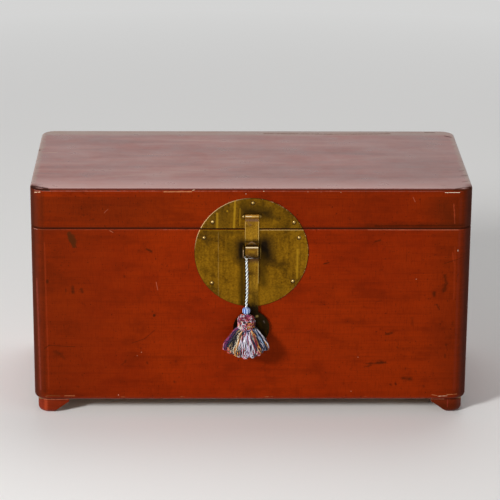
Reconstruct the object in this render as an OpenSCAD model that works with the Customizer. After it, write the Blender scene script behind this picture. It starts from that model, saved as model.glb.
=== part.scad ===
/* [Chest body] */
// Width of the chest over its end boards
chest_w = 760; // [640:5:900]
// Depth of the chest from front board to back board
chest_d = 366; // [320:2:460]
// Height of the body boards, without feet and lid
body_h = 316.4; // [280:0.2:360]
// Thickness of the boards round the body and the lid
board_t = 15; // [13:0.5:18]
// Radius of the upright corners
corner_r = 25; // [20:1:30]
// Rounding along the bottom edge of the body
base_round = 8; // [4:0.5:11]
// Rounding along both edges of the seam
seam_round = 1.2; // [0.6:0.2:2]
// Number of dovetails at each corner of the body
body_tails = 6; // [4:1:8]
// Spread of a dovetail for each millimetre of its length
tail_spread = 0.125; // [0.08:0.005:0.16]
// Thickness of the bottom board
bottom_t = 12; // [9:0.5:15]
// Depth of the rabbet that the bottom board sits in
bottom_rabbet = 7; // [4:0.5:9]

/* [Rim inside the mouth] */
// Thickness of the rim strips
rim_t = 6; // [5:0.5:9]
// How far the rim stands above the seam, inside the lid
rim_rise = 8; // [5:0.5:12]
// How far the rim reaches down inside the body
rim_drop = 26; // [15:1:28]
// Clearance between the rim and the lid boards
rim_gap = 1; // [0.6:0.1:1.5]

/* [Lid] */
// Height of the closed lid above the seam
lid_h = 72.5; // [68:0.5:90]
// Thickness of the lid's top board
lid_top_t = 14; // [11:0.5:17]
// Rounding along the top edge of the lid
top_round = 4; // [1.5:0.5:6]
// Open line of the seam between body and lid
seam_gap = 0.5; // [0.3:0.1:0.8]
// Number of dovetails at each corner of the lid
lid_tails = 2; // [1:1:3]
// Width of a batten under the lid's top board
batten_w = 40; // [25:1:60]
// Thickness of a batten
batten_t = 12; // [8:0.5:15]
// Distance of each batten from the middle of the lid
batten_x = 190; // [120:5:250]

/* [Feet] */
// Height of the feet
foot_h = 26; // [20:1:34]
// Length of a foot along the chest, at its top
foot_len = 55; // [46:1:70]
// Length of a foot where it meets the floor
foot_base = 25; // [24:1:44]
// Thickness of a foot's two arms
foot_t = 24; // [18:1:27]
// Upright step at the top of a foot's inner end
foot_step = 4.5; // [2:0.5:8]
// How far the feet stand in from the faces of the body
foot_inset = 6; // [3:0.5:8]
// Rounding along a foot's outer lower edge
foot_round = 9; // [3:0.5:9]

/* [Lock plate] */
// Radius of the round lock plate
plate_r = 98.3; // [85:0.1:99]
// Thickness of the plate
plate_t = 1.5; // [1:0.1:2]
// Bevel on the plate's rim
plate_bevel = 0.5; // [0.2:0.1:0.8]
// How far the seam lies above the plate's centre
plate_seam = 42; // [36:0.5:44]
// Setback of each half of the plate from the seam
plate_setback = 0.5; // [0.2:0.1:0.6]
// Usual distance of a plate's nail in from its rim
nail_edge = 10; // [8:0.5:13]
// Radius of a nail's domed head
nail_head_r = 2.8; // [2:0.1:3.2]
// Height of a nail's domed head
nail_head_h = 2.2; // [1.6:0.1:2.4]
// Radius of a nail's shank
nail_r = 1.2; // [0.8:0.1:1.4]
// Length of a nail's shank
nail_len = 11; // [8:0.5:12]
// Clearance round a nail's shank
nail_gap = 0.05; // [0.03:0.01:0.1]

/* [Hasp] */
// Sideways place of the hasp from the middle of the chest
hasp_x = 0.5; // [-2:0.5:2]
// Height of the hasp's hinge above the seam
hinge_up = 25; // [22:0.5:28]
// Radius of the hasp's barrel
barrel_r = 4; // [3.6:0.1:4.5]
// Clearance between the barrel and the plate
barrel_gap = 0.5; // [0.3:0.1:1]
// Radius of the hasp's pin
pin_r = 1.6; // [1.2:0.1:1.9]
// Running clearance of every hinge pin, on the radius
pin_gap = 0.05; // [0.02:0.01:0.09]
// Radius of the domed ends of the pin
pin_head_r = 2.4; // [2.2:0.1:3]
// Width of the strap
strap_w = 23.6; // [20:0.2:24]
// Thickness of the strap
strap_t = 2; // [1.4:0.1:2.4]
// Distance of the strap's back from the plate
strap_gap = 1.5; // [1.2:0.1:2.4]
// Radius of the round end of the strap
finial_r = 31.5; // [26:0.5:34]
// Distance from the hinge down to the middle of the round end
finial_drop = 204.5; // [195:0.5:215]
// Radius of the curls raised on the round end
curl_r = 3.8; // [3:0.2:5]
// Sideways place of each curl from the middle of the strap
curl_x = 9.5; // [6:0.5:14]
// Height of the curls above the middle of the round end
curl_up = 22; // [16:0.5:24]
// Height of the raised curls
curl_h = 0.9; // [0.5:0.1:1.5]
// Thickness of the ears that carry the pin
eye_t = 2; // [1.6:0.1:2.4]
// Radius of the ears that carry the pin
eye_r = 3.9; // [3.6:0.1:4.4]

/* [Lock ears] */
// Depth of the padlock bar's line below the seam
bar_drop = 39; // [36:0.5:42]
// Radius of the holes for the padlock bar
bar_r = 3.6; // [3:0.1:3.8]
// Half height of a lock ear
ear_r = 11.8; // [10:0.2:13]
// Metal of a lock ear outside its hole
ear_wall = 3; // [2.6:0.1:4]
// Thickness of a lock ear
ear_t = 1.8; // [1.4:0.1:2.2]
// Clearance between the strap and each ear
ear_gap = 2.1; // [1.9:0.1:3]
// Height of the tang behind each ear
tang_h = 8; // [5:0.5:9]
// Length of the tang that is bent over inside the chest
clench_len = 10; // [6:0.5:14]
// Width of the loop that is fixed to the strap
bridge_w = 21.6; // [19:0.2:21.8]
// Height of the loop
bridge_h = 21.4; // [21:0.2:22]
// How much higher the loop's middle is than the padlock bar's line
bridge_lift = 1.7; // [1.5:0.1:2]
// Depth of the loop
bridge_d = 9.7; // [9.5:0.1:10.5]
// Wall of the loop
bridge_t = 1.6; // [1.2:0.1:1.6]
// Rounding of the loop's outer edges
bridge_round = 2.6; // [2:0.1:3.5]
// Height of the loop's fixing flanges at their middle
flange_h = 6.5; // [4:0.5:9]
// Thickness of the loop's fixing flanges
flange_t = 0.8; // [0.5:0.1:1.2]

/* [Tassel] */
// Thickness of the strand hitched round the loop's lower wall
strand_d = 1.6; // [1:0.1:1.7]
// Clearance between the strand or its knot and the loop's wall
strand_gap = 0.2; // [0.1:0.05:0.3]
// Distance of the cord in front of the chest's face, at its knot
cord_out = 10.2; // [9.8:0.1:10.6]
// Sideways place of the cord from the middle of the hasp
cord_x = -9; // [-9.5:0.5:-6]
// Radius of the knot that the cord hangs from
knot_r = 2.5; // [2.2:0.1:2.7]
// Diameter of the hanging cord
cord_d = 4.4; // [3:0.1:4.5]
// Lean of the tassel away from the chest, in degrees
tassel_lean = 6; // [6:0.5:9]
// Radius of the bead
bead_r = 7; // [6.5:0.1:8.2]
// Radius of the knotted head
head_r = 14.8; // [12:0.2:15]
// Height of the knotted head
head_h = 25.5; // [22:0.5:26]
// Rounding of the knotted head
head_round = 7; // [4:0.5:7]
// Clearance between soft pieces
soft_gap = 0.3; // [0.2:0.1:0.5]
// Number of folds round the yarn skirt
skirt_folds = 14; // [8:1:18]

/* [Back hinges] */
// Distance of each back hinge from the middle
hinge_x = 230; // [150:5:280]
// Length of a hinge along its pin
hinge_len = 60; // [45:1:80]
// Height of each leaf
leaf_h = 38; // [30:1:45]
// Thickness of the leaves
leaf_t = 1.6; // [1.2:0.1:2]
// Radius of the knuckles
knuckle_r = 4; // [3.6:0.1:4.6]
// Radius of the hinge pins
hinge_pin_r = 2; // [1.5:0.1:2.2]
// Clearance between turning hinge parts
hinge_gap = 0.3; // [0.2:0.05:0.5]

/* [Side handles] */
// Height of the handles' pivots above the body's bottom edge
handle_up = 190; // [150:5:220]
// Length of the handle plate
handle_plate_w = 116; // [110:1:130]
// Height of the handle plate
handle_plate_h = 36; // [32:1:44]
// Half the distance between a handle's two posts
post_y = 42; // [38:1:46]
// Width of a post along the pivot line
post_w = 8; // [6:0.5:9]
// Distance of the pivot line from the chest's end
pivot_out = 5.4; // [5.2:0.1:7]
// Radius of a post round the pivot
post_r = 3.4; // [3.2:0.1:3.6]
// Radius of the handle's rod
rod_r = 2.6; // [2.4:0.1:3]
// Radius of the handle's pivot ends
pivot_r = 1.9; // [1.6:0.1:2]
// Drop of the grip below the pivots
grip_drop = 34; // [28:1:42]
// Bend radius at the corners of the handle
grip_bend = 12; // [8:1:16]

/* [Hidden] */
$fn = 64;

lacquer = [0.48, 0.13, 0.05];
bare_wood = [0.62, 0.47, 0.31];
aged_brass = [0.52, 0.40, 0.13];
dark_brass = [0.30, 0.24, 0.12];
pale_cord = [0.80, 0.84, 0.88];
bead_blue = [0.42, 0.55, 0.78];
yarn_pink = [0.72, 0.42, 0.52];
yarn_mauve = [0.45, 0.32, 0.50];

past = 1;
seam_z = foot_h + body_h;
// The rounding under a foot stays within the foot's rounded corner
foot_curve = min(foot_round, (corner_r - foot_inset) / 2);
lid_z = seam_z + seam_gap;
top_z = seam_z + lid_h;
front_face = chest_d / 2;
plate_z = seam_z - plate_seam;
bar_z = seam_z - bar_drop;
barrel_z = seam_z + hinge_up;
barrel_out = plate_t + barrel_gap + barrel_r;
strap_back = plate_t + strap_gap;
strap_front = strap_back + strap_t;
bridge_out = strap_front + bridge_d;
bar_out = strap_front + (bridge_d - bridge_t) / 2;
ear_centre_out = bar_out + bar_r + ear_wall - ear_r;
ear_reach = ear_centre_out + ear_r;
ear_in = strap_w / 2 + ear_gap;
axis_out = hinge_gap + knuckle_r;
front_reach = max(bridge_out, ear_reach);
back_reach = axis_out + knuckle_r;
// Half the difference of what stands out in front and behind, so that the whole is centred
mid_y = (front_reach - back_reach) / 2;

// Nails of the two halves of the plate: angle round its centre, share of the usual distance
lid_nail_places = [[88.7, 0.83], [37.1, 0.68], [140.2, 1.09]];
body_nail_places = [[18.6, 1.2], [161.4, 1.22], [-35.7, 0.98], [218.7, 1.1]];

loop_z = bar_z + bridge_lift;
wall_z = loop_z - bridge_h / 2 + bridge_t / 2;
strand_r = strand_d / 2;
turn_r = bridge_t / 2 + strand_r + strand_gap;
knot_z = loop_z - bridge_h / 2 - strand_gap - knot_r;

// Route of the hanging cord from its knot: sideways, down
cord_route = [
    [0, -2.8], [0.2, -10], [0.6, -20], [1, -30], [1.2, -40], [1.2, -50],
    [1, -60], [0.6, -70], [0, -80], [0, -90], [0, -100]
];
head_top = -100;
// The rounding of the head stays within half its radius
head_curve = min(head_round, head_r / 2);
bead_mid = -91.5;
cord_sides = 8;
// Outline of the yarn skirt: half width, half depth, height above the head's foot, and how much
// higher the ring stands behind the head than in front of it
skirt_rings = [
    [17.6, 16, 6, 6], [21, 16.3, 0, 3], [26, 16.8, -6.5, 1], [31, 17.4, -13, 0], [35.5, 18, -19, 0],
    [38, 18.4, -25, 0], [38.6, 18.4, -30.5, 0], [36.5, 17.6, -36.5, 0], [30, 15, -42.5, 0],
    [19, 10, -47.5, 0]
];
skirt_sides = 84;
skirt_fold = 0.06;

module in_frame() {
    translate([0, mid_y, 0]) children();
}

// Local x to the right, y up, z out of the front of the chest
module on_front(x, z) {
    translate([x, -front_face, z]) rotate([90, 0, 0]) children();
}

// Local x to the left, y up, z out of the back of the chest
module on_back(x, z) {
    translate([x, front_face, z]) rotate([90, 0, 180]) children();
}

// Local x along the pivot line, y up, z out of the end of the chest
module on_end(side, z) {
    translate([side * chest_w / 2, 0, z]) rotate([90, 0, side * 90]) children();
}

// Half of an upright section with one rounded outer edge below and one above
module edge_section(reach, h, r_low, r_high) {
    translate([0, r_low]) square([reach, h - r_low - r_high]);
    square([reach - r_low, h - r_high]);
    translate([0, r_low]) square([reach - r_high, h - r_low]);
    translate([reach - r_low, r_low]) circle(r_low);
    translate([reach - r_high, h - r_high]) circle(r_high);
}

module whole_section(reach, h, r_low, r_high) {
    edge_section(reach, h, r_low, r_high);
    mirror([1, 0]) edge_section(reach, h, r_low, r_high);
}

// A block with rounded upright corners and rounded lower and upper edges
module rounded_block(w, d, h, r, r_low, r_high) {
    for (sx = [-1, 1], sy = [-1, 1])
        translate([sx * (w / 2 - r), sy * (d / 2 - r), 0])
            rotate_extrude() edge_section(r, h, r_low, r_high);
    rotate([90, 0, 90])
        linear_extrude(w - 2 * r, center = true) whole_section(d / 2, h, r_low, r_high);
    rotate([90, 0, 0])
        linear_extrude(d - 2 * r, center = true) whole_section(w / 2, h, r_low, r_high);
}

module body_form() {
    translate([0, 0, foot_h])
        rounded_block(chest_w, chest_d, body_h, corner_r, base_round, seam_round);
}

module lid_form() {
    translate([0, 0, lid_z])
        rounded_block(chest_w, chest_d, top_z - lid_z, corner_r, seam_round, top_round);
}

// Dovetails of both ends, from depth y0 to depth y1
module tails(z0, h, count, y0, y1) {
    pitch = h / count;
    root = 0.3 * pitch;
    for (side = [-1, 1], i = [0 : count - 1])
        translate([side * (chest_w / 2 - board_t), y1, z0 + (i + 0.5) * pitch])
            rotate([90, 0, 0]) linear_extrude(y1 - y0) polygon([
                [-side * past, past * tail_spread - root],
                [side * (board_t + past), -root - (board_t + past) * tail_spread],
                [side * (board_t + past), root + (board_t + past) * tail_spread],
                [-side * past, root - past * tail_spread]
            ]);
}

// The part of the front or back that its board fills, side -1 for the front
module long_region(side, z0, h, count) {
    inner = front_face - board_t;
    low = side < 0 ? -front_face - past : inner;
    high = side < 0 ? -inner : front_face + past;
    translate([board_t - chest_w / 2, low, z0]) cube([chest_w - 2 * board_t, high - low, h]);
    tails(z0, h, count, low, high);
}

// The part of an end that its board fills, side -1 for the left
module end_region(side, z0, h, count) {
    inner = front_face - board_t;
    difference() {
        translate([side < 0 ? -chest_w / 2 - past : chest_w / 2 - board_t, -front_face - past, z0])
            cube([board_t + past, chest_d + 2 * past, h]);
        tails(z0, h, count, -front_face - 2 * past, -inner);
        tails(z0, h, count, inner, front_face + 2 * past);
    }
}

module bottom_shape() {
    grow = 2 * (bottom_rabbet - board_t);
    translate([-(chest_w + grow) / 2, -(chest_d + grow) / 2, foot_h])
        cube([chest_w + grow, chest_d + grow, bottom_t]);
}

function plate_place(p) =
    (plate_r - p[1] * nail_edge) * [cos(p[0]), sin(p[0])];

module plate_nail_holes(places) {
    on_front(0, plate_z)
        for (p = places) translate([plate_place(p)[0], plate_place(p)[1], -nail_len - past])
            cylinder(r = nail_r + nail_gap, h = nail_len + plate_t + 2 * past);
}

// A nail with a domed head, its head standing on z = 0
module nail() {
    dome = (nail_head_r * nail_head_r + nail_head_h * nail_head_h) / (2 * nail_head_h);
    rotate_extrude() intersection() {
        translate([0, nail_head_h - dome]) circle(dome);
        square([nail_head_r, nail_head_h]);
    }
    translate([0, 0, -nail_len]) cylinder(r = nail_r, h = nail_len + nail_head_h / 4);
}

module ear_slots() {
    on_front(hasp_x, bar_z) for (side = [-1, 1])
        translate([side * (ear_in + ear_t / 2), 0, -board_t / 2])
            cube([ear_t, tang_h, board_t + 4 * past], center = true);
}

module eye_slots() {
    on_front(hasp_x, barrel_z) for (side = [-1, 1])
        translate([side * (strap_w / 2 + hinge_gap + eye_t / 2), 0, -board_t / 2])
            cube([eye_t, eye_r, board_t + 4 * past], center = true);
}

module hinge_nail_places() {
    for (side = [-1, 1]) translate([side * hinge_x, 0, 0])
        for (p = [[-0.36, 0.4], [0.36, 0.4], [0, 0.78]])
            translate([p[0] * hinge_len, p[1] * leaf_h, 0]) children();
}

module hinge_nail_holes(up) {
    on_back(0, up > 0 ? lid_z : seam_z) scale([1, up, 1]) hinge_nail_places()
        translate([0, 0, -nail_len - past])
            cylinder(r = nail_r + nail_gap, h = nail_len + leaf_t + 2 * past);
}

module handle_nail_places() {
    for (y = [-1, 1], z = [-1, 1])
        translate([y * post_y / 2, z * handle_plate_h / 3, 0]) children();
}

module handle_holes(side) {
    on_end(side, foot_h + handle_up) {
        handle_nail_places() translate([0, 0, -nail_len - past])
            cylinder(r = nail_r + nail_gap, h = nail_len + plate_t + 2 * past);
        for (y = [-1, 1]) translate([y * post_y, 0, -board_t - past])
            cylinder(r = pivot_r + nail_gap, h = board_t + plate_t + 2 * past);
    }
}

module body_front() {
    color(lacquer) in_frame() difference() {
        intersection() {
            body_form();
            long_region(-1, foot_h, body_h, body_tails);
        }
        bottom_shape();
        plate_nail_holes(body_nail_places);
        ear_slots();
    }
}

module body_back() {
    color(lacquer) in_frame() difference() {
        intersection() {
            body_form();
            long_region(1, foot_h, body_h, body_tails);
        }
        bottom_shape();
        hinge_nail_holes(-1);
    }
}

module body_end(side) {
    color(lacquer) in_frame() difference() {
        intersection() {
            body_form();
            end_region(side, foot_h, body_h, body_tails);
        }
        bottom_shape();
        handle_holes(side);
    }
}

module body_left() {
    body_end(-1);
}

module body_right() {
    body_end(1);
}

module body_bottom() {
    color(bare_wood) in_frame() bottom_shape();
}

module rim_long(side) {
    long_half = chest_w / 2 - board_t;
    color(bare_wood) in_frame() scale([1, side, 1]) {
        translate([-long_half, front_face - board_t - rim_t, seam_z - rim_drop])
            cube([2 * long_half, rim_t, rim_drop]);
        translate([rim_gap - long_half, front_face - board_t - rim_t, seam_z - rim_drop / 2])
            cube([2 * (long_half - rim_gap), rim_t - rim_gap, rim_drop / 2 + rim_rise]);
    }
}

module rim_end(side) {
    end_half = front_face - board_t - rim_t;
    color(bare_wood) in_frame() scale([side, 1, 1]) {
        translate([chest_w / 2 - board_t - rim_t, -end_half, seam_z - rim_drop])
            cube([rim_t, 2 * end_half, rim_drop]);
        translate([chest_w / 2 - board_t - rim_t, -end_half, seam_z - rim_drop / 2])
            cube([rim_t - rim_gap, 2 * end_half, rim_drop / 2 + rim_rise]);
    }
}

module rim_front() {
    rim_long(-1);
}

module rim_back() {
    rim_long(1);
}

module rim_left() {
    rim_end(-1);
}

module rim_right() {
    rim_end(1);
}

// One foot: two arms round a corner, cut to the body's rounded outline
module foot(sx, sy) {
    color(lacquer) in_frame() intersection() {
        rounded_block(chest_w - 2 * foot_inset, chest_d - 2 * foot_inset, foot_h,
            corner_r - foot_inset, foot_curve, seam_round);
        scale([sx, sy, 1]) translate([chest_w / 2 - foot_inset, front_face - foot_inset, 0])
            rotate([0, 0, 180]) {
                rotate([90, 0, 0]) translate([0, 0, -foot_t]) linear_extrude(foot_t) foot_arm();
                rotate([90, 0, 90]) linear_extrude(foot_t) foot_arm();
            }
    }
}

module foot_arm() {
    polygon([
        [0, 0], [foot_base, 0], [foot_len, foot_h - foot_step], [foot_len, foot_h], [0, foot_h]
    ]);
}

module foot_front_left() {
    foot(-1, -1);
}

module foot_front_right() {
    foot(1, -1);
}

module foot_back_left() {
    foot(-1, 1);
}

module foot_back_right() {
    foot(1, 1);
}

module lock_disc() {
    on_front(0, plate_z) rotate_extrude() polygon([
        [0, 0], [plate_r, 0], [plate_r, plate_t - plate_bevel],
        [plate_r - plate_bevel, plate_t], [0, plate_t]
    ]);
}

module body_lock_plate() {
    color(aged_brass) in_frame() difference() {
        lock_disc();
        translate([-chest_w / 2, -chest_d, seam_z - plate_setback]) cube([chest_w, chest_d, lid_h]);
        plate_nail_holes(body_nail_places);
        ear_slots();
    }
}

module lid_lock_plate() {
    color(aged_brass) in_frame() difference() {
        lock_disc();
        translate([-chest_w / 2, -chest_d, 0])
            cube([chest_w, chest_d, lid_z + plate_setback]);
        plate_nail_holes(lid_nail_places);
        eye_slots();
    }
}

module plate_nails(places) {
    color(aged_brass) in_frame() on_front(0, plate_z)
        for (p = places) translate([plate_place(p)[0], plate_place(p)[1], plate_t]) nail();
}

module body_plate_nails() {
    plate_nails(body_nail_places);
}

module lid_plate_nails() {
    plate_nails(lid_nail_places);
}

// Two ears for the padlock bar, each with a tang through the board, bent over inside
module lock_ears() {
    color(dark_brass) in_frame() on_front(hasp_x, bar_z) for (side = [-1, 1])
        scale([side, 1, 1]) {
            difference() {
                translate([ear_in, 0, 0]) rotate([90, 0, 90]) linear_extrude(ear_t) intersection() {
                    union() {
                        translate([0, ear_centre_out]) circle(ear_r);
                        translate([-ear_r, 0]) square([2 * ear_r, ear_centre_out]);
                    }
                    translate([-ear_r, plate_t]) square([2 * ear_r, ear_reach]);
                }
                translate([0, 0, bar_out]) rotate([0, 90, 0]) cylinder(r = bar_r, h = strap_w * 2);
            }
            translate([ear_in, -tang_h / 2, -board_t]) cube([ear_t, tang_h, board_t + plate_t + ear_t]);
            translate([ear_in, -tang_h / 2, -board_t - ear_t]) cube([clench_len, tang_h, ear_t]);
        }
}

// Knuckles of one hinge along its pin, for the turning leaf or the fixed leaf
module knuckles(turning) {
    third = hinge_len / 3;
    spans = turning ? [[-third / 2 + hinge_gap, third / 2 - hinge_gap]]
        : [[-hinge_len / 2, -third / 2], [third / 2, hinge_len / 2]];
    for (s = spans) {
        translate([s[0], 0, axis_out]) rotate([0, 90, 0]) cylinder(r = knuckle_r, h = s[1] - s[0]);
        translate([s[0], 0, 0]) cube([s[1] - s[0], knuckle_r + 2 * hinge_gap, leaf_t]);
    }
}

// One leaf in the frame of the chest's back, rising from the pin for the lid, falling for the body
module leaf(side, up) {
    axis_z = (seam_z + lid_z) / 2;
    start = knuckle_r + hinge_gap;
    color(aged_brass) in_frame() difference() {
        on_back(side * hinge_x, axis_z) scale([1, up, 1]) difference() {
            union() {
                translate([-hinge_len / 2, start, 0]) cube([hinge_len, leaf_h - start, leaf_t]);
                knuckles(up > 0);
            }
            translate([0, 0, axis_out]) rotate([0, 90, 0])
                cylinder(r = hinge_pin_r + pin_gap, h = 2 * hinge_len, center = true);
        }
        hinge_nail_holes(up);
    }
}

module hinge_body_leaf_left() {
    leaf(1, -1);
}

module hinge_body_leaf_right() {
    leaf(-1, -1);
}

module hinge_lid_leaf_left() {
    leaf(1, 1);
}

module hinge_lid_leaf_right() {
    leaf(-1, 1);
}

module hinge_pins() {
    color(dark_brass) in_frame() on_back(0, (seam_z + lid_z) / 2) for (side = [-1, 1])
        translate([side * hinge_x, 0, axis_out]) rotate([0, 90, 0])
            cylinder(r = hinge_pin_r, h = hinge_len, center = true);
}

module hinge_nails(up) {
    color(aged_brass) in_frame() on_back(0, up > 0 ? lid_z : seam_z)
        scale([1, up, 1]) hinge_nail_places() translate([0, 0, leaf_t]) nail();
}

module hinge_body_nails() {
    hinge_nails(-1);
}

module hinge_lid_nails() {
    hinge_nails(1);
}

module handle_plate(side) {
    end_r = handle_plate_h / 2;
    color(aged_brass) in_frame() difference() {
        on_end(side, foot_h + handle_up) linear_extrude(plate_t) {
            square([handle_plate_w - 2 * end_r, handle_plate_h], center = true);
            for (y = [-1, 1]) translate([y * (handle_plate_w / 2 - end_r), 0]) circle(end_r);
        }
        handle_holes(side);
    }
}

module handle_plate_left() {
    handle_plate(-1);
}

module handle_plate_right() {
    handle_plate(1);
}

// Two posts that carry a handle, each with a round tang through the end board
module handle_posts(side) {
    color(dark_brass) in_frame() on_end(side, foot_h + handle_up) for (y = [-1, 1])
        translate([y * post_y, 0, 0]) {
            rotate([90, 0, 90]) linear_extrude(post_w, center = true) difference() {
                union() {
                    translate([-post_r, plate_t]) square([2 * post_r, pivot_out - plate_t]);
                    translate([0, pivot_out]) circle(post_r);
                }
                translate([0, pivot_out]) circle(pivot_r + pin_gap);
            }
            translate([0, 0, -board_t]) cylinder(r = pivot_r, h = board_t + plate_t + pin_gap);
        }
}

module handle_posts_left() {
    handle_posts(-1);
}

module handle_posts_right() {
    handle_posts(1);
}

module handle_nails() {
    color(aged_brass) in_frame() for (side = [-1, 1])
        on_end(side, foot_h + handle_up) handle_nail_places() translate([0, 0, plate_t]) nail();
}

// The swinging handle: two legs, a grip, and pivot ends that turn outwards into the posts
module handle_bail(side) {
    leg_y = post_y - post_w / 2 - hinge_gap - rod_r;
    color(dark_brass) in_frame() on_end(side, foot_h + handle_up) translate([0, 0, pivot_out]) {
        for (y = [-1, 1]) scale([y, 1, 1]) {
            translate([leg_y, 0, 0]) {
                sphere(rod_r);
                rotate([0, 90, 0]) cylinder(r = pivot_r, h = post_y + post_w / 2 + past - leg_y);
                translate([0, grip_bend - grip_drop, 0]) rotate([-90, 0, 0])
                    cylinder(r = rod_r, h = grip_drop - grip_bend);
            }
            translate([leg_y - grip_bend, grip_bend - grip_drop, 0]) rotate([0, 0, -90])
                rotate_extrude(angle = 90) translate([grip_bend, 0]) circle(rod_r);
        }
        translate([0, -grip_drop, 0]) rotate([0, 90, 0])
            cylinder(r = rod_r, h = 2 * (leg_y - grip_bend), center = true);
    }
}

module handle_bail_left() {
    handle_bail(-1);
}

module handle_bail_right() {
    handle_bail(1);
}

module lid_top() {
    color(lacquer) in_frame() intersection() {
        lid_form();
        translate([-chest_w, -chest_d, top_z - lid_top_t]) cube([2 * chest_w, 2 * chest_d, lid_top_t + past]);
    }
}

lid_side_h = top_z - lid_top_t - lid_z;

module lid_front() {
    color(lacquer) in_frame() difference() {
        intersection() {
            lid_form();
            long_region(-1, lid_z, lid_side_h, lid_tails);
        }
        plate_nail_holes(lid_nail_places);
        eye_slots();
    }
}

module lid_back() {
    color(lacquer) in_frame() difference() {
        intersection() {
            lid_form();
            long_region(1, lid_z, lid_side_h, lid_tails);
        }
        hinge_nail_holes(1);
    }
}

module lid_end(side) {
    color(lacquer) in_frame() intersection() {
        lid_form();
        end_region(side, lid_z, lid_side_h, lid_tails);
    }
}

module lid_left() {
    lid_end(-1);
}

module lid_right() {
    lid_end(1);
}

module lid_battens() {
    long = chest_d - 2 * board_t;
    color(bare_wood) in_frame() for (side = [-1, 1])
        translate([side * batten_x - batten_w / 2, -long / 2, top_z - lid_top_t - batten_t])
            cube([batten_w, long, batten_t]);
}

// Two ears on the lid's half of the plate, which hold the hasp's pin
module hasp_eyes() {
    inner = strap_w / 2 + hinge_gap;
    color(dark_brass) in_frame() on_front(hasp_x, barrel_z) for (side = [-1, 1])
        scale([side, 1, 1]) {
            difference() {
                translate([inner, 0, 0]) rotate([90, 0, 90]) linear_extrude(eye_t) union() {
                    translate([0, barrel_out]) circle(eye_r);
                    translate([-eye_r, plate_t]) square([2 * eye_r, barrel_out - plate_t]);
                }
                translate([0, 0, barrel_out]) rotate([0, 90, 0])
                    cylinder(r = pin_r + pin_gap, h = strap_w * 2);
            }
            translate([inner, -eye_r / 2, -board_t]) cube([eye_t, eye_r, board_t + plate_t + pin_gap]);
            translate([inner, -eye_r / 2, -board_t - eye_t]) cube([clench_len, eye_r, eye_t]);
        }
}

module hasp_pin() {
    out = strap_w / 2 + hinge_gap + eye_t;
    color(aged_brass) in_frame() on_front(hasp_x, barrel_z) translate([0, 0, barrel_out])
        rotate([0, 90, 0]) {
            cylinder(r = pin_r, h = 2 * out + pin_gap, center = true);
            for (side = [0, 180]) rotate([side, 0, 0]) translate([0, 0, out])
                rotate_extrude() intersection() {
                    circle(pin_head_r);
                    square([pin_head_r, pin_head_r]);
                }
        }
}

// Barrel, strap and round end in one piece of brass, with raised curls on the end
module hasp_strap() {
    color(aged_brass) in_frame() on_front(hasp_x, barrel_z) {
        difference() {
            union() {
                translate([0, 0, barrel_out]) rotate([0, 90, 0])
                    cylinder(r = barrel_r, h = strap_w, center = true);
                translate([-strap_w / 2, -finial_drop, strap_back])
                    cube([strap_w, finial_drop, strap_t]);
            }
            translate([0, 0, barrel_out]) rotate([0, 90, 0])
                cylinder(r = pin_r + pin_gap, h = 2 * strap_w, center = true);
        }
        translate([0, -finial_drop, strap_back]) cylinder(r = finial_r, h = strap_t);
        for (side = [-1, 1])
            translate([side * curl_x, curl_up - finial_drop, strap_front]) difference() {
                cylinder(r = curl_r, h = curl_h);
                translate([0, 0, -past]) cylinder(r = curl_r / 2, h = curl_h + 2 * past);
            }
    }
}

// The loop fixed to the front of the strap, which the padlock bar passes through
module hasp_bridge() {
    half = bridge_h / 2;
    color(aged_brass) in_frame() on_front(hasp_x, loop_z) {
        rotate([90, 0, 90]) linear_extrude(bridge_w, center = true)
            translate([0, strap_front]) difference() {
                bridge_outline(half, bridge_d, bridge_round);
                translate([0, -past])
                    bridge_outline(half - bridge_t, bridge_d - bridge_t + past, bridge_round - bridge_t);
            }
        for (up = [-1, 1]) scale([1, up, 1]) translate([0, 0, strap_front])
            linear_extrude(flange_t) polygon([
                [-bridge_w / 2, half - bridge_t], [bridge_w / 2, half - bridge_t],
                [bridge_w / 2, half + flange_h / 3], [0, half + flange_h],
                [-bridge_w / 2, half + flange_h / 3]
            ]);
    }
}

// Outline of the loop seen along its tunnel: two rounded outer edges
module bridge_outline(half, depth, r) {
    translate([-half, 0]) square([2 * half, depth - r]);
    translate([r - half, 0]) square([2 * (half - r), depth]);
    for (side = [-1, 1]) translate([side * (half - r), depth - r]) circle(r);
}

// A turn of thin strand round the loop's lower wall, with the knot that the cord hangs from
module cord_hitch() {
    color(pale_cord) in_frame() {
        on_front(hasp_x, wall_z) translate([0, 0, cord_out]) {
            for (side = [-1, 1]) {
                translate([0, side * turn_r, 0]) rotate([0, 90, 0])
                    cylinder(r = strand_r, h = bridge_w, center = true);
                translate([side * bridge_w / 2, 0, 0]) rotate([0, 0, -side * 90])
                    rotate_extrude(angle = 180) translate([turn_r, 0]) circle(strand_r);
            }
        }
        on_front(hasp_x + cord_x, knot_z) translate([0, 0, cord_out]) sphere(knot_r);
    }
}

// Local z along the leaning tassel, its zero in the knot
module on_tassel() {
    translate([hasp_x + cord_x, -front_face - cord_out, knot_z])
        rotate([-tassel_lean, 0, 0]) children();
}

module tassel_cord() {
    rings = len(cord_route);
    points = [
        for (p = cord_route, i = [0 : cord_sides - 1])
            [p[0] + cord_d / 2 * cos(360 * i / cord_sides), cord_d / 2 * sin(360 * i / cord_sides), p[1]]
    ];
    walls = [
        for (k = [0 : rings - 2], i = [0 : cord_sides - 1])
            let (a = k * cord_sides + i, b = k * cord_sides + (i + 1) % cord_sides)
                each [[a, b, b + cord_sides], [a, b + cord_sides, a + cord_sides]]
    ];
    top = [for (i = [0 : cord_sides - 1]) cord_sides - 1 - i];
    foot = [for (i = [0 : cord_sides - 1]) (rings - 1) * cord_sides + i];
    color(pale_cord) in_frame() on_tassel() polyhedron(points, concat([top], walls, [foot]));
}

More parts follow.
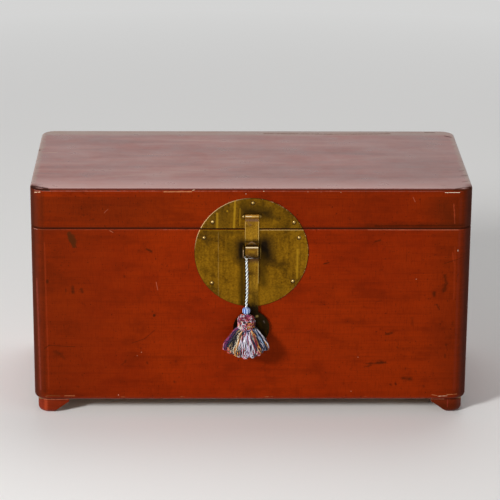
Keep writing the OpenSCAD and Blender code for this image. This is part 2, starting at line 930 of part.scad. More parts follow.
module tassel_bead() {
    color(bead_blue) in_frame() on_tassel() translate([0, 0, bead_mid]) rotate_extrude()
        intersection() {
            circle(bead_r);
            translate([cord_d / 2 + soft_gap, -bead_r]) square([bead_r, 2 * bead_r]);
        }
}

module tassel_head() {
    color(yarn_pink) in_frame() on_tassel() translate([0, 0, head_top - head_h])
        rotate_extrude() edge_section(head_r, head_h, head_curve, head_curve);
}

// Half width, half depth, height, tilt and fold of each ring, with a cup for the head's foot first
function skirt_levels() = let (cup = head_r + soft_gap, rim = skirt_rings[0]) concat(
    [[cup, cup, -soft_gap, 0, 0], [cup, cup, rim[2], rim[3], 0]],
    [for (k = [0 : len(skirt_rings) - 1]) concat(skirt_rings[k], [k == 0 ? 0 : skirt_fold])]
);

module tassel_skirt() {
    levels = skirt_levels();
    foot = head_top - head_h;
    n = skirt_sides;
    rings = len(levels);
    points = concat(
        [for (s = levels, i = [0 : n - 1])
            let (a = 360 * i / n, fold = 1 + s[4] * cos(skirt_folds * a))
                [s[0] * fold * cos(a), s[1] * fold * sin(a), foot + s[2] + s[3] * sin(a)]],
        [[0, 0, foot + levels[0][2]], [0, 0, foot + levels[rings - 1][2]]]
    );
    walls = [
        for (k = [0 : rings - 2], i = [0 : n - 1]) let (a = k * n + i, b = k * n + (i + 1) % n)
            each [[a, b + n, b], [a, a + n, b + n]]
    ];
    floor_fan = [for (i = [0 : n - 1]) [rings * n, i, (i + 1) % n]];
    foot_fan = [for (i = [0 : n - 1]) [rings * n + 1, (rings - 1) * n + (i + 1) % n, (rings - 1) * n + i]];
    color(yarn_mauve) in_frame() on_tassel() polyhedron(points, concat(walls, floor_fan, foot_fan));
}

body_front();
body_back();
body_left();
body_right();
body_bottom();
rim_front();
rim_back();
rim_left();
rim_right();
foot_front_left();
foot_front_right();
foot_back_left();
foot_back_right();
body_lock_plate();
body_plate_nails();
lock_ears();
hinge_body_leaf_left();
hinge_body_leaf_right();
hinge_pins();
hinge_body_nails();
handle_plate_left();
handle_plate_right();
handle_posts_left();
handle_posts_right();
handle_nails();
lid_top();
lid_front();
lid_back();
lid_left();
lid_right();
lid_battens();
lid_lock_plate();
lid_plate_nails();
hasp_eyes();
hasp_pin();
hinge_lid_leaf_left();
hinge_lid_leaf_right();
hinge_lid_nails();
hasp_strap();
hasp_bridge();
cord_hitch();
tassel_cord();
tassel_bead();
tassel_head();
tassel_skirt();
handle_bail_left();
handle_bail_right();
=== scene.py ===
import math
import random

import bmesh
import bpy
from mathutils import Matrix, Vector


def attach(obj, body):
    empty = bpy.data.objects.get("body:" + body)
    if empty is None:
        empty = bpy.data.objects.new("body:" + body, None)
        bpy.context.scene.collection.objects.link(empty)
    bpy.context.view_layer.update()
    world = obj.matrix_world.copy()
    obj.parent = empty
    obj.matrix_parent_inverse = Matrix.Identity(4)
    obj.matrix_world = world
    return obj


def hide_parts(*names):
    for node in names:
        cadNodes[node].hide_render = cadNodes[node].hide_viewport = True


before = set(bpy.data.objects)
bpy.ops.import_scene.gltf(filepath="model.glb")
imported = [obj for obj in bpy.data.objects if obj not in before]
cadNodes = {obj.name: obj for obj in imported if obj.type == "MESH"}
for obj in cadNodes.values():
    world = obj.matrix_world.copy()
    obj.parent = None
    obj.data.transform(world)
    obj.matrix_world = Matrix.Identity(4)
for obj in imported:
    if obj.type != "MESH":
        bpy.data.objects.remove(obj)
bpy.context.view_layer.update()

scene = bpy.context.scene
scene.view_settings.view_transform = "Standard"

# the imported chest, in metres: half its width and depth, the rounding of its upright corners, its
# planes, and how far out and up the bare wood of its inside reaches
halfWidth, halfDepth, cornerRadius = 0.380, 0.183, 0.025
midY = 0.003675
frontY = midY - halfDepth
topZ = 0.4149
bareHalfWidth, bareHalfDepth, bareTop = 0.3653, 0.1683, 0.4012

print("camera, floor and light")

cameraSettings = {
    "place": (-0.0834, -4.0488, 1.6085),
    "pitch": 0.3249, "yaw": -0.0209, "roll": 0.0070,
    "lens": 170.66, "sensor": 36, "clipEnd": 60,
}


def addObject(name, data):
    made = bpy.data.objects.new(name, data)
    scene.collection.objects.link(made)
    return made


def buildCamera(settings):
    cameraData = bpy.data.cameras.new("photoCamera")
    cameraData.lens = settings["lens"]
    cameraData.sensor_width = settings["sensor"]
    cameraData.clip_end = settings["clipEnd"]
    camera = addObject("photoCamera", cameraData)
    turn = Matrix.Rotation(settings["yaw"], 3, "Z")
    forward = turn @ Vector((0, math.cos(settings["pitch"]), -math.sin(settings["pitch"])))
    right = turn @ Vector((1, 0, 0))
    up = right.cross(forward)
    c, s = math.cos(settings["roll"]), math.sin(settings["roll"])
    axes = Matrix((c * right + s * up, c * up - s * right, -forward)).transposed()
    camera.matrix_world = Matrix.Translation(settings["place"]) @ axes.to_4x4()
    scene.camera = camera


buildCamera(cameraSettings)


def srgb(r, g, b):
    # 0 to 255 as a picture shows it, to the linear colour that a shader takes
    def one(v):
        v = v / 255
        return v / 12.92 if v <= 0.04045 else ((v + 0.055) / 1.055) ** 2.4
    return (one(r), one(g), one(b), 1.0)


class Shade:
    # what a shader node gives out; calculating with it adds nodes to its tree
    def __init__(self, tree, socket):
        self.tree, self.socket = tree, socket

    def calc(self, operation, other=0.0, clamp=False):
        inputs = {0: self, 1: other}
        return addNode(self.tree, "ShaderNodeMath", inputs, operation=operation, use_clamp=clamp)

    def __add__(self, other):
        return self.calc("ADD", other)

    def __sub__(self, other):
        return self.calc("SUBTRACT", other)

    def __rsub__(self, other):
        return addNode(self.tree, "ShaderNodeMath", {0: other, 1: self}, operation="SUBTRACT")

    def __mul__(self, other):
        return self.calc("MULTIPLY", other)

    def __truediv__(self, other):
        return self.calc("DIVIDE", other)

    def __gt__(self, other):
        return self.calc("GREATER_THAN", other)

    def __lt__(self, other):
        return self.calc("LESS_THAN", other)

    def __abs__(self):
        return self.calc("ABSOLUTE")

    def most(self, other):
        return self.calc("MAXIMUM", other)

    def least(self, other):
        return self.calc("MINIMUM", other)

    def remap(self, low, high, outLow=0.0, outHigh=1.0):
        return addNode(self.tree, "ShaderNodeMapRange", {
            "Value": self, "From Min": low, "From Max": high, "To Min": outLow, "To Max": outHigh,
        }, "Result", clamp=True)

    def mix(self, a, b):
        # from colour a at 0 to colour b at 1
        return addNode(self.tree, "ShaderNodeMix", {0: self, 6: a, 7: b}, 2, data_type="RGBA")

    def vector(self, operation, other=(0, 0, 0), out="Vector"):
        return addNode(self.tree, "ShaderNodeVectorMath", {0: self, 1: other}, out, operation=operation)

    def minus(self, other):
        return self.vector("SUBTRACT", other)

    def stretched(self, factors):
        return self.vector("MULTIPLY", factors)

    def dot(self, other):
        return self.vector("DOT_PRODUCT", other, "Value")

    def length(self):
        return self.vector("LENGTH", out="Value")

    def parts(self):
        made = self.tree.nodes.new("ShaderNodeSeparateXYZ")
        connect(self, made.inputs[0])
        return [Shade(self.tree, made.outputs[axis]) for axis in "XYZ"]

    def noise(self, scale, detail=2.0, rough=0.5, distortion=0.0):
        return addNode(self.tree, "ShaderNodeTexNoise", {
            "Vector": self, "Scale": scale, "Detail": detail, "Roughness": rough, "Distortion": distortion,
        })

    def through(self, group, inputs=()):
        # all outputs of a group of nodes that starts from this place
        made = self.tree.nodes.new("ShaderNodeGroup")
        made.node_tree = group
        connect(self, made.inputs["Vector"])
        for name, value in dict(inputs).items():
            connect(value, made.inputs[name])
        return outputsOf(made)


def connect(value, socket):
    # a value from another node is linked, a plain one is set on the socket
    if isinstance(value, Shade):
        value.tree.links.new(value.socket, socket)
    else:
        socket.default_value = value


def outputsOf(node):
    return {socket.name: Shade(node.id_data, socket) for socket in node.outputs}


def addNode(tree, kind, inputs, out=0, **settings):
    # out is the output that is handed back
    made = tree.nodes.new(kind)
    for name, value in settings.items():
        setattr(made, name, value)
    for name, value in inputs.items():
        connect(value, made.inputs[name])
    return Shade(tree, made.outputs[out])


def joined(x, y, z=0.0):
    return addNode(x.tree, "ShaderNodeCombineXYZ", {"X": x, "Y": y, "Z": z})


def objectPlace(tree):
    return outputsOf(tree.nodes.new("ShaderNodeTexCoord"))["Object"]


def newMaterial(name, **values):
    material = bpy.data.materials.new(name)
    material.use_nodes = True
    tree = material.node_tree
    tree.nodes.clear()
    shader = tree.nodes.new("ShaderNodeBsdfPrincipled")
    output = tree.nodes.new("ShaderNodeOutputMaterial")
    tree.links.new(shader.outputs[0], output.inputs[0])
    for socketName, value in values.items():
        shader.inputs[socketName.replace("_", " ")].default_value = value
    return material, tree, shader


def setSurface(shader, colour, rough, height, strength, distance):
    # colour, roughness and relief of a material
    connect(colour, shader.inputs["Base Color"])
    connect(rough, shader.inputs["Roughness"])
    relief = {"Height": height, "Strength": strength, "Distance": distance}
    connect(addNode(height.tree, "ShaderNodeBump", relief), shader.inputs["Normal"])


studioSettings = {
    "floorColour": (0.88, 0.87, 0.855, 1), "floorSize": 30,
    # away from the lamps, between two distances, the floor passes into an even pale tone
    "farFloor": (0.66, 0.66, 0.655, 1), "floorFades": (1.1, 3.0),
    "worldLight": 0.15, "worldShown": (0.84, 0.83, 0.83, 1),
    "lamps": [
        # name, place, aim, size, power
        ("keyLamp", (-3.0, -3.2, 2.1), (0, 0, 0.2), 0.95, 201),
        ("fillLamp", (3.2, -3.0, 1.8), (0, 0, 0.2), 2.6, 21),
        ("topLamp", (0.4, 1.4, 3.6), (0, 0, 0.3), 2.6, 44),
    ],
}


def seenRays(tree):
    # 1 for what the camera sees straight, in gloss or through glass
    path = outputsOf(tree.nodes.new("ShaderNodeLightPath"))
    return path["Is Camera Ray"].most(path["Is Glossy Ray"]).most(path["Is Transmission Ray"])


def meshPiece(name, bm, material, smooth=True):
    for face in bm.faces:
        face.smooth = smooth
    mesh = bpy.data.meshes.new(name)
    bm.to_mesh(mesh)
    bm.free()
    mesh.materials.append(material)
    return addObject(name, mesh)


def buildFloor(settings):
    material, tree, shader = newMaterial("floorPlain", Base_Color=settings["floorColour"], Roughness=0.85)
    away = objectPlace(tree).length().remap(*settings["floorFades"])
    even = addNode(tree, "ShaderNodeEmission", {"Color": settings["farFloor"], "Strength": 1.0})
    both = addNode(tree, "ShaderNodeMixShader", {
        0: seenRays(tree) * away, 1: Shade(tree, shader.outputs[0]), 2: even,
    })
    connect(both, tree.get_output_node("ALL").inputs["Surface"])
    bm = bmesh.new()
    bmesh.ops.create_grid(bm, x_segments=1, y_segments=1, size=settings["floorSize"])
    meshPiece("floor", bm, material, smooth=False)


def buildLamps(settings):
    for name, place, aim, size, power in settings["lamps"]:
        lampData = bpy.data.lights.new(name, "AREA")
        lampData.shape = "DISK"
        lampData.size = size
        lampData.energy = power
        lamp = addObject(name, lampData)
        lamp.location = place
        lamp.rotation_euler = (Vector(place) - Vector(aim)).to_track_quat("Z", "Y").to_euler()


def buildWorld(settings):
    # what is seen of the surroundings is brighter than the light that they give
    world = bpy.data.worlds.new("studio")
    scene.world = world
    world.use_nodes = True
    tree = world.node_tree
    tree.nodes.clear()
    given = {"Color": (1, 1, 1, 1), "Strength": settings["worldLight"]}
    seen = {"Color": settings["worldShown"], "Strength": 1.0}
    both = addNode(tree, "ShaderNodeMixShader", {
        0: seenRays(tree), 1: addNode(tree, "ShaderNodeBackground", given),
        2: addNode(tree, "ShaderNodeBackground", seen),
    })
    connect(both, tree.nodes.new("ShaderNodeOutputWorld").inputs[0])


buildFloor(studioSettings)
buildLamps(studioSettings)
buildWorld(studioSettings)

print("effects that several materials share")


def makeGroup(recipe, inputs, outputs):
    # a group of nodes: recipe works out the outputs from the inputs; inputs come with their defaults
    group = bpy.data.node_groups.new(recipe.__name__, "ShaderNodeTree")
    for name, value in inputs.items():
        kind = "Float" if isinstance(value, float) else {3: "Vector", 4: "Color"}[len(value)]
        socket = group.interface.new_socket(name=name, in_out="INPUT", socket_type="NodeSocket" + kind)
        socket.default_value = value
    for name, kind in outputs.items():
        group.interface.new_socket(name=name, in_out="OUTPUT", socket_type="NodeSocket" + kind)
    start = outputsOf(group.nodes.new("NodeGroupInput"))
    end = group.nodes.new("NodeGroupOutput").inputs
    for name, value in recipe(start).items():
        connect(value, end[name])
    return group


def strokeMask(start):
    # a mark along a line from Start to Start + Along: 1 in its middle, 0 outside its half width
    away = start["Vector"].minus(start["Start"])
    # limited without a clamped node, because those are worked out late and fill the shader's memory
    share = (away.dot(start["Along"]) * start["Reach"]).least(1.0).most(0.0)
    nearest = addNode(share.tree, "ShaderNodeVectorMath", {0: start["Along"], "Scale": share},
                      operation="SCALE")
    far = away.vector("DISTANCE", nearest, "Value")
    ragged = start["Ragged"] * start["Wobble"]
    out = far / start["Width"] + ragged
    return {"Mask": out.remap(1.0 - start["Softness"], 1.0, 1.0, 0.0)}


def wallLine(start):
    # a broken line all round the rounded outline of the chest, between two heights
    x, y, z = start["Vector"].parts()
    outX = abs(x) - (halfWidth - cornerRadius)
    outY = abs(y - midY) - (halfDepth - cornerRadius)
    inward = cornerRadius - joined(outX.most(0.0), outY.most(0.0)).length()
    mask = (z > start["Low"]) * (z < start["High"])
    mask = mask * (y < start["Until"]) * (inward < start["Depth"])
    broken = (start["Amount"] - 0.5 - start["Ragged"]).remap(-0.03, 0.03)
    return {"Mask": mask * broken, "Inward": inward}


def lacquerTone(start):
    # brushed lacquer: broad patches, long streaks along the board, a fine weave and dark specks
    place, warm, deep, speck = start["Vector"], start["Warm"], start["Deep"], start["Speck"]
    broad = place.noise(5.0, 3.0, 0.55)
    along = place.stretched(start["Streak"])
    streaks = along.noise(1.0, 3.0, 0.62, 0.6)
    fine = along.stretched((2.4, 2.4, 5.0)).noise(1.0, 2.0, 0.6)
    cloudy = place.stretched((0.7, 1.0, 1.3)).noise(24.0, 5.0, 0.66)
    weave = place.stretched((620, 300, 60)).noise(1.0, 1.0, 0.5)
    specks = place.noise(300.0, 2.0, 0.5)
    flecks = place.noise(110.0, 4.0, 0.7)
    colour = broad.remap(0.38, 0.66).mix(start["Colour"], warm)
    for tone, low, high, strength, over in [
        (streaks, 0.44, 0.68, 0.36, deep), (cloudy, 0.50, 0.64, 0.55, warm),
        (cloudy, 0.48, 0.34, 0.48, deep), (fine, 0.50, 0.74, 0.42, deep), (weave, 0.50, 0.76, 0.42, deep),
        (specks, 0.655, 0.73, 0.75, speck), (flecks, 0.62, 0.74, 0.55, speck),
    ]:
        colour = tone.remap(low, high, 0.0, strength).mix(colour, over)
    return {"Color": colour, "Smudge": cloudy, "Height": broad * 1.6 + fine * 0.08}


def woodGrain(start):
    # long wood grain along one direction, with pores
    along = start["Vector"].stretched(start["Stretch"])
    rings = along.noise(1.0, 4.0, 0.55, 0.6)
    pores = along.noise(6.0, 2.0, 0.5).remap(0.28, 0.44)
    colour = rings.remap(0.3, 0.7).mix(start["Dark"], start["Light"])
    return {"Color": pores.mix(start["Pore"], colour), "Tone": rings}


def patina(start):
    # old brass: clouds of tarnish, mottling a few millimetres wide, upright brush lines and freckles
    place, scale = start["Vector"], start["Scale"]
    clouds = place.noise(scale, 5.0, 0.62, 0.4)
    mottled = place.noise(scale * 11.0, 4.0, 0.66)
    brushed = place.stretched((1.0, 1.0, 0.10)).noise(scale * 7.0, 3.0, 0.6)
    tone = clouds * 0.38 + mottled * 0.40 + brushed * 0.22
    colour = tone.remap(0.40, 0.60).mix(start["Dull"], start["Bright"])
    colour = clouds.remap(start["Spread"] - 0.14, start["Spread"], 0.50, 0.0).mix(colour, start["Tarnish"])
    colour = mottled.remap(0.28, 0.38, 0.30, 0.0).mix(colour, start["Tarnish"])
    return {"Color": colour, "Clouds": clouds, "Height": clouds + mottled * 0.18}


def fibres(start):
    # fibres and plies of a twisted thread, read from its own UV map
    along, across = start["Vector"].parts()[:2]
    tone = joined(along * start["Turns"], across * 9.0).noise(2.2, 3.0, 0.6)
    angle = across * (2 * math.pi)
    groove = (angle * start["Plies"]).calc("COSINE").remap(0.1, -0.9)
    return {"Tone": tone, "Groove": groove, "Ply": angle.calc("COSINE") > 0.3}


origin, black, white = (0, 0, 0), (0, 0, 0, 1), (1, 1, 1, 1)
grainAlong, grainAcross = (4, 60, 60), (60, 4, 60)
strokeGroup = makeGroup(strokeMask, {
    "Vector": origin, "Start": origin, "Along": origin, "Reach": 0.0, "Width": 1.0, "Softness": 0.5,
    "Ragged": 0.0, "Wobble": 0.0,
}, {"Mask": "Float"})
wallGroup = makeGroup(wallLine, {
    "Vector": origin, "Low": 0.0, "High": 0.0, "Depth": 0.004, "Ragged": 0.0, "Amount": 0.5, "Until": 1.0,
}, {"Mask": "Float", "Inward": "Float"})
toneGroup = makeGroup(lacquerTone, {
    "Vector": origin, "Streak": (5, 5, 150), "Colour": white, "Deep": black, "Warm": white, "Speck": black,
}, {"Color": "Color", "Smudge": "Float", "Height": "Float"})
grainGroup = makeGroup(woodGrain, {
    "Vector": origin, "Stretch": grainAlong, "Light": srgb(168, 128, 86), "Dark": srgb(108, 74, 44),
    "Pore": srgb(70, 46, 28),
}, {"Color": "Color", "Tone": "Float"})
patinaGroup = makeGroup(patina, {
    "Vector": origin, "Scale": 30.0, "Bright": white, "Dull": black, "Tarnish": black, "Spread": 0.5,
}, {"Color": "Color", "Clouds": "Float", "Height": "Float"})
fibreGroup = makeGroup(fibres, {"Vector": origin, "Plies": 3.0, "Turns": 30.0}, {
    "Tone": "Float", "Groove": "Float", "Ply": "Float",
})

paints = {
    "black": srgb(20, 13, 12), "dark": srgb(66, 18, 5), "umber": srgb(50, 17, 5),
    "brown": srgb(84, 42, 10), "mauve": srgb(150, 66, 52), "blush": srgb(198, 118, 88),
    "pale": srgb(214, 178, 146), "white": srgb(240, 226, 200), "tan": srgb(184, 124, 80),
    "sootAndShadow": srgb(26, 18, 10), "olive": srgb(66, 46, 6), "gold": srgb(186, 142, 30),
    "glint": srgb(236, 200, 120), "plum": srgb(112, 80, 66), "grey": srgb(136, 118, 108),
    "rose": srgb(150, 70, 52), "russet": srgb(62, 19, 9), "ember": srgb(168, 58, 26),
    "flame": srgb(200, 84, 50), "shadowGrey": srgb(70, 46, 38), "shine": srgb(255, 238, 196),
    "moss": srgb(98, 66, 36), "night": srgb(30, 8, 3), "bark": srgb(62, 27, 8), "ruby": srgb(140, 50, 40),
    "blossom": srgb(186, 134, 122),
}
# how far behind the front and below the top their marks reach, and how fast those of the top end then
cornerReach, topReach, topEnds = 0.022, 0.0035, 20.0


def frontPlace(place):
    # across and up on the front, with a third value that ends a mark on its way round a corner
    x, y, z = place.parts()
    return joined(x, z, (y - (frontY + cornerReach)).most(0.0))


def topPlace(place):
    # across and back on the top, ended below it
    x, y, z = place.parts()
    return joined(x, y, (topZ - topReach - z).most(0.0) * topEnds)


def raggedNoise(place, scale=230.0):
    return place.noise(scale, 3.0, 0.65) - 0.5


def paintMarks(flat, ragged, colour, marks):
    # each mark in millimetres: from, to, half width, then its paint, strength, softness and wobble;
    # also says where the black marks are, which are made dull: chips and painted shadow alike
    blackMarked = 0.0
    for a, b, c, d, width, paint, strength, softness, wobble in marks:
        length = (c - a) ** 2 + (d - b) ** 2
        mask = flat.through(strokeGroup, {
            "Start": (a / 1000, b / 1000, 0), "Along": ((c - a) / 1000, (d - b) / 1000, 0),
            "Reach": 1e6 / length if length else 0.0, "Width": width / 1000, "Softness": softness,
            "Ragged": ragged, "Wobble": wobble,
        })["Mask"]
        colour = (mask * strength).mix(colour, paints[paint])
        if paint == "black":
            blackMarked = mask.most(blackMarked)
    return colour, blackMarked


print("lacquer and wood")

redLacquer = {
    "Colour": srgb(128, 31, 3), "Deep": srgb(94, 20, 3), "Warm": srgb(138, 38, 3), "Speck": srgb(52, 14, 5),
}
lidLacquer = {
    "Colour": srgb(119, 29, 3), "Deep": srgb(88, 19, 3), "Warm": srgb(128, 36, 3), "Speck": srgb(48, 13, 5),
}
footLacquer = {
    "Colour": srgb(122, 34, 12), "Deep": srgb(90, 22, 8), "Warm": srgb(132, 44, 20),
    "Speck": srgb(48, 13, 5), "Streak": (12, 12, 120),
}
lacquerSettings = {
    # lines: low, high, depth, amount, rearmost y and paint of the broken lines round the edges: wear, dark
    # seams and painted light and shade
    "body": {"tone": redLacquer, "roughness": 0.34, "lines": [
        # rose: painted highlight under the seam; brown: painted shade under the bottom edge; tan: wear
        (0.3406, 0.3430, 0.004, 0.36, 1.0, "rose"), (0.0255, 0.0285, 0.006, 0.40, 1.0, "brown"),
        (0.0318, 0.0327, 0.002, 0.36, -0.1500, "tan"),
    ]},
    "lid": {"tone": lidLacquer, "roughness": 0.34, "lines": [
        (0.3420, 0.3457, 0.010, 0.80, 1.0, "black"),
    ]},
    "top": {"tone": {**lidLacquer, "Streak": (5, 90, 150)}, "roughness": 0.30, "lines": [
        # rose: painted highlight on the front arris; russet: painted dark reflection along its top
        (0.4100, 0.4117, 0.002, 0.36, 1.0, "rose"), (0.4122, 0.4160, 0.0042, 0.80, -0.1765, "russet"),
    ]},
    "foot": {"tone": footLacquer, "roughness": 0.38, "lines": []},
}

cornerMarks = [
    # painted shade darkens both rounded front corners, with a painted mauve sheen at the left and a red one
    # at the right
    (-381.5, 20, -381.5, 409, 9.5, "night", 0.92, 0.6, 0.3),
    (-376, 20, -376, 409, 20, "umber", 0.84, 1, 0.3),
    (-371, 250, -368.5, 45, 2, "mauve", 0.55, 0.9, 2.6),
    (-358.5, 405, -360.5, 41, 5.5, "dark", 0.5, 1, 0.8),
    (-356, 318, -353.6, 49, 1.6, "ember", 0.46, 0.9, 2.6),
    (384, 20, 384, 409, 24, "night", 0.9, 0.62, 0.3),
    (358.5, 398, 359, 45, 3.4, "mauve", 0.16, 0.9, 1.8),
    (351.5, 310, 352.5, 215, 2.2, "ember", 0.42, 0.9, 2.6),
    (362, 20, 362, 409, 60, "umber", 0.38, 1, 0.3),
]

bodyMarks = cornerMarks + [
    # broad painted shade at both sides
    (-345, 40, -345, 340, 230, "umber", 0.4, 1, 0.3),
    (320, 60, 320, 320, 220, "umber", 0.1, 1, 0.3),
    # left of the plate
    (-313.5, 335, -305, 312, 5, "bark", 0.9, 0.5, 0.8),
    (-309.5, 327, -306.5, 320, 7.8, "bark", 0.85, 0.4, 0.8),
    (-247, 342.5, -236, 337, 1.3, "umber", 0.55, 0.7, 1.8),
    (-243.2, 339.8, -238, 336.5, 0.9, "blush", 0.5, 0.7, 1.2),
    (-180, 306.5, -172.5, 302, 3, "umber", 0.8, 0.8, 1.2),
    (-107.7, 280, -108.2, 271, 1.5, "dark", 0.5, 0.9, 0.8),
    (-219, 257.4, -219, 256.4, 3, "dark", 0.65, 0.8, 0.8),
    (-352.5, 248.5, -352.5, 246.5, 3.8, "umber", 0.88, 0.8, 0.8),
    (-308.8, 237, -308.5, 227, 4.2, "umber", 0.78, 0.9, 1.2),
    (-294, 232.5, -292, 227.5, 3.8, "umber", 0.65, 0.9, 1.2),
    (-321, 233, -321, 228.5, 2.4, "umber", 0.5, 0.9, 1.2),
    (-289.5, 245.5, -288.5, 244.5, 2.4, "umber", 0.45, 0.9, 1.2),
    (-171.5, 192.5, -171, 191.5, 2.4, "umber", 0.6, 0.9, 0.8),
    (-168, 185.3, -168, 184.3, 3.4, "umber", 0.95, 0.7, 0.8),
    (-207, 133.5, -185, 141.5, 1.5, "dark", 0.6, 0.8, 0.8),
    (-185, 141.5, -167.5, 157.5, 1.5, "dark", 0.6, 0.8, 0.8),
    (-164.5, 246, -162, 232, 0.9, "blush", 0.36, 0.7, 0.8),
    (-161, 226, -157, 208, 0.9, "dark", 0.35, 0.8, 0.8),
    (-360, 123, -352, 129.4, 1.4, "umber", 0.65, 0.7, 0.8),
    (-352, 129.4, -307, 126.6, 1.2, "umber", 0.6, 0.8, 0.8),
    (-341, 117, -332, 113, 5, "umber", 0.5, 1, 1.8),
    (-329, 108, -326, 104, 3, "umber", 0.35, 1, 1.8),
    (-190.9, 116.2, -190.9, 116.2, 1.1, "pale", 0.75, 0.6, 0.8),
    (-198.5, 110, -198.5, 110, 0.9, "pale", 0.45, 0.6, 0.8),
    (-225, 93, -218, 101, 2.6, "dark", 0.5, 0.9, 1.8),
    (-181, 97, -180.5, 95.5, 3.2, "dark", 0.75, 0.9, 1.2),
    (-140.5, 97, -140.5, 96, 2.2, "dark", 0.45, 0.9, 1.2),
    (-134, 61.5, -133.5, 60, 2.8, "dark", 0.65, 0.9, 1.2),
    (-173.5, 60, -173, 60, 2.2, "dark", 0.45, 0.9, 1.2),
    (-303, 52, -302, 51, 3.2, "dark", 0.65, 0.9, 1.2),
    (-358, 34.8, -334, 34.4, 0.8, "moss", 0.75, 0.6, 2.6),
    (-327, 34.4, -309, 34.4, 0.6, "tan", 0.75, 0.5, 1.8),
    (-231.9, 36, -231.9, 36, 1, "white", 0.75, 0.6, 0.8),
    # right of the plate
    (125, 279.5, 134, 282, 1.9, "umber", 0.8, 0.8, 1.2),
    (213.5, 320.5, 222, 323, 2.5, "umber", 0.72, 0.9, 1.2),
    (268, 322.9, 268, 284.6, 0.8, "dark", 0.36, 0.7, 1.8),
    (286, 251.7, 286, 251.7, 0.8, "white", 0.75, 0.6, 0.8),
    (218, 210, 226, 212, 1.6, "dark", 0.5, 0.9, 1.2),
    (335.5, 258, 338.5, 244, 5, "umber", 0.7, 1, 2.6),
    (338, 242, 334, 230, 5, "umber", 0.7, 1, 2.6),
    (318, 227, 318, 221, 4.2, "umber", 0.78, 0.9, 1.2),
    (323, 205, 328, 195.5, 1.9, "umber", 0.6, 0.8, 1.2),
    (281, 180, 281, 168, 4, "umber", 0.36, 1, 1.8),
    (352, 172, 352, 166, 4, "umber", 0.4, 1, 1.8),
    (236, 149.5, 246.5, 152, 3.8, "umber", 0.8, 0.9, 1.8),
    (203, 94.5, 236.5, 97, 2.8, "umber", 0.72, 0.9, 1.8),
    (222, 96.5, 229, 98, 5.4, "umber", 0.62, 0.9, 1.2),
    (200, 88.5, 211, 91.5, 2.4, "umber", 0.6, 0.9, 1.8),
    (268, 67.5, 282, 66, 5, "umber", 0.72, 0.9, 1.8),
    (246, 55.5, 247.5, 54.5, 3, "umber", 0.78, 0.9, 1.2),
    (254.5, 57.5, 256, 55.5, 2.6, "umber", 0.72, 0.9, 1.2),
    (304.5, 53, 305.5, 51, 3, "umber", 0.5, 0.9, 1.2),
    (289.5, 81, 290, 79.5, 2.2, "umber", 0.45, 0.9, 1.2),
    (256, 126, 257.5, 124, 2.4, "umber", 0.5, 0.9, 1.2),
    (313, 130, 316, 129.5, 1.7, "umber", 0.45, 0.9, 1.2),
    (341.5, 130.5, 342, 129.5, 2.6, "umber", 0.65, 0.9, 1.2),
    (340.5, 112, 340.5, 107, 2.8, "umber", 0.55, 0.9, 1.2),
    (188, 106.9, 188, 106.9, 0.9, "pale", 0.65, 0.6, 0.8),
    (177, 42.8, 177, 42.8, 0.9, "pale", 0.65, 0.6, 0.8),
    (356.6, 304.7, 356.6, 303, 1, "white", 0.62, 0.7, 0.8),
    (347.5, 300, 349.5, 283, 1.3, "ember", 0.45, 0.8, 2.6),
    (331.5, 279.2, 367.4, 292, 0.9, "umber", 0.58, 0.6, 1.2),
    (320, 36, 329, 34.2, 0.7, "tan", 0.85, 0.6, 2.6),
    (331, 33, 347, 33.8, 0.7, "pale", 0.8, 0.6, 2.6),
    (346, 36.2, 364, 36.6, 0.6, "tan", 0.85, 0.6, 2.6),
    # under the seam, a painted highlight along the body's top edge, with a pale chip at the left
    (-366, 341.4, 366, 341.4, 0.6, "blush", 0.16, 0.6, 1.8),
    (200, 341.4, 356, 341.4, 0.6, "blush", 0.55, 0.5, 0.8),
    (-374, 341, -368, 341, 0.8, "blossom", 0.5, 0.5, 1.8),
]

lidMarks = cornerMarks + [
    (346.5, 388, 349.5, 353, 1.3, "flame", 0.55, 0.9, 2.6),
    (-276, 360.5, -270, 360.5, 1.8, "dark", 0.5, 0.9, 1.8),
    (-345.3, 374.9, -345.3, 373.9, 2.2, "dark", 0.55, 0.9, 0.8),
    (-252.5, 372, -246.5, 378, 0.7, "blush", 0.4, 0.6, 0.8),
    (275.5, 402, 280, 392, 0.9, "blush", 0.35, 0.8, 1.2),
    # painted shade along the seam, heaviest at the right, and broad painted shade at the left and the far
    # right
    (200, 347.5, 372, 348, 9, "umber", 0.55, 1, 0.3),
    (212, 348.4, 362, 349.6, 2.2, "night", 0.62, 0.9, 1.2),
    (-366, 346, 200, 346, 3.6, "umber", 0.3, 1, 0.8),
    (-360, 380, -220, 380, 110, "umber", 0.36, 1, 0.3),
    (330, 384, 344, 354, 44, "umber", 0.5, 1, 0.3),
]

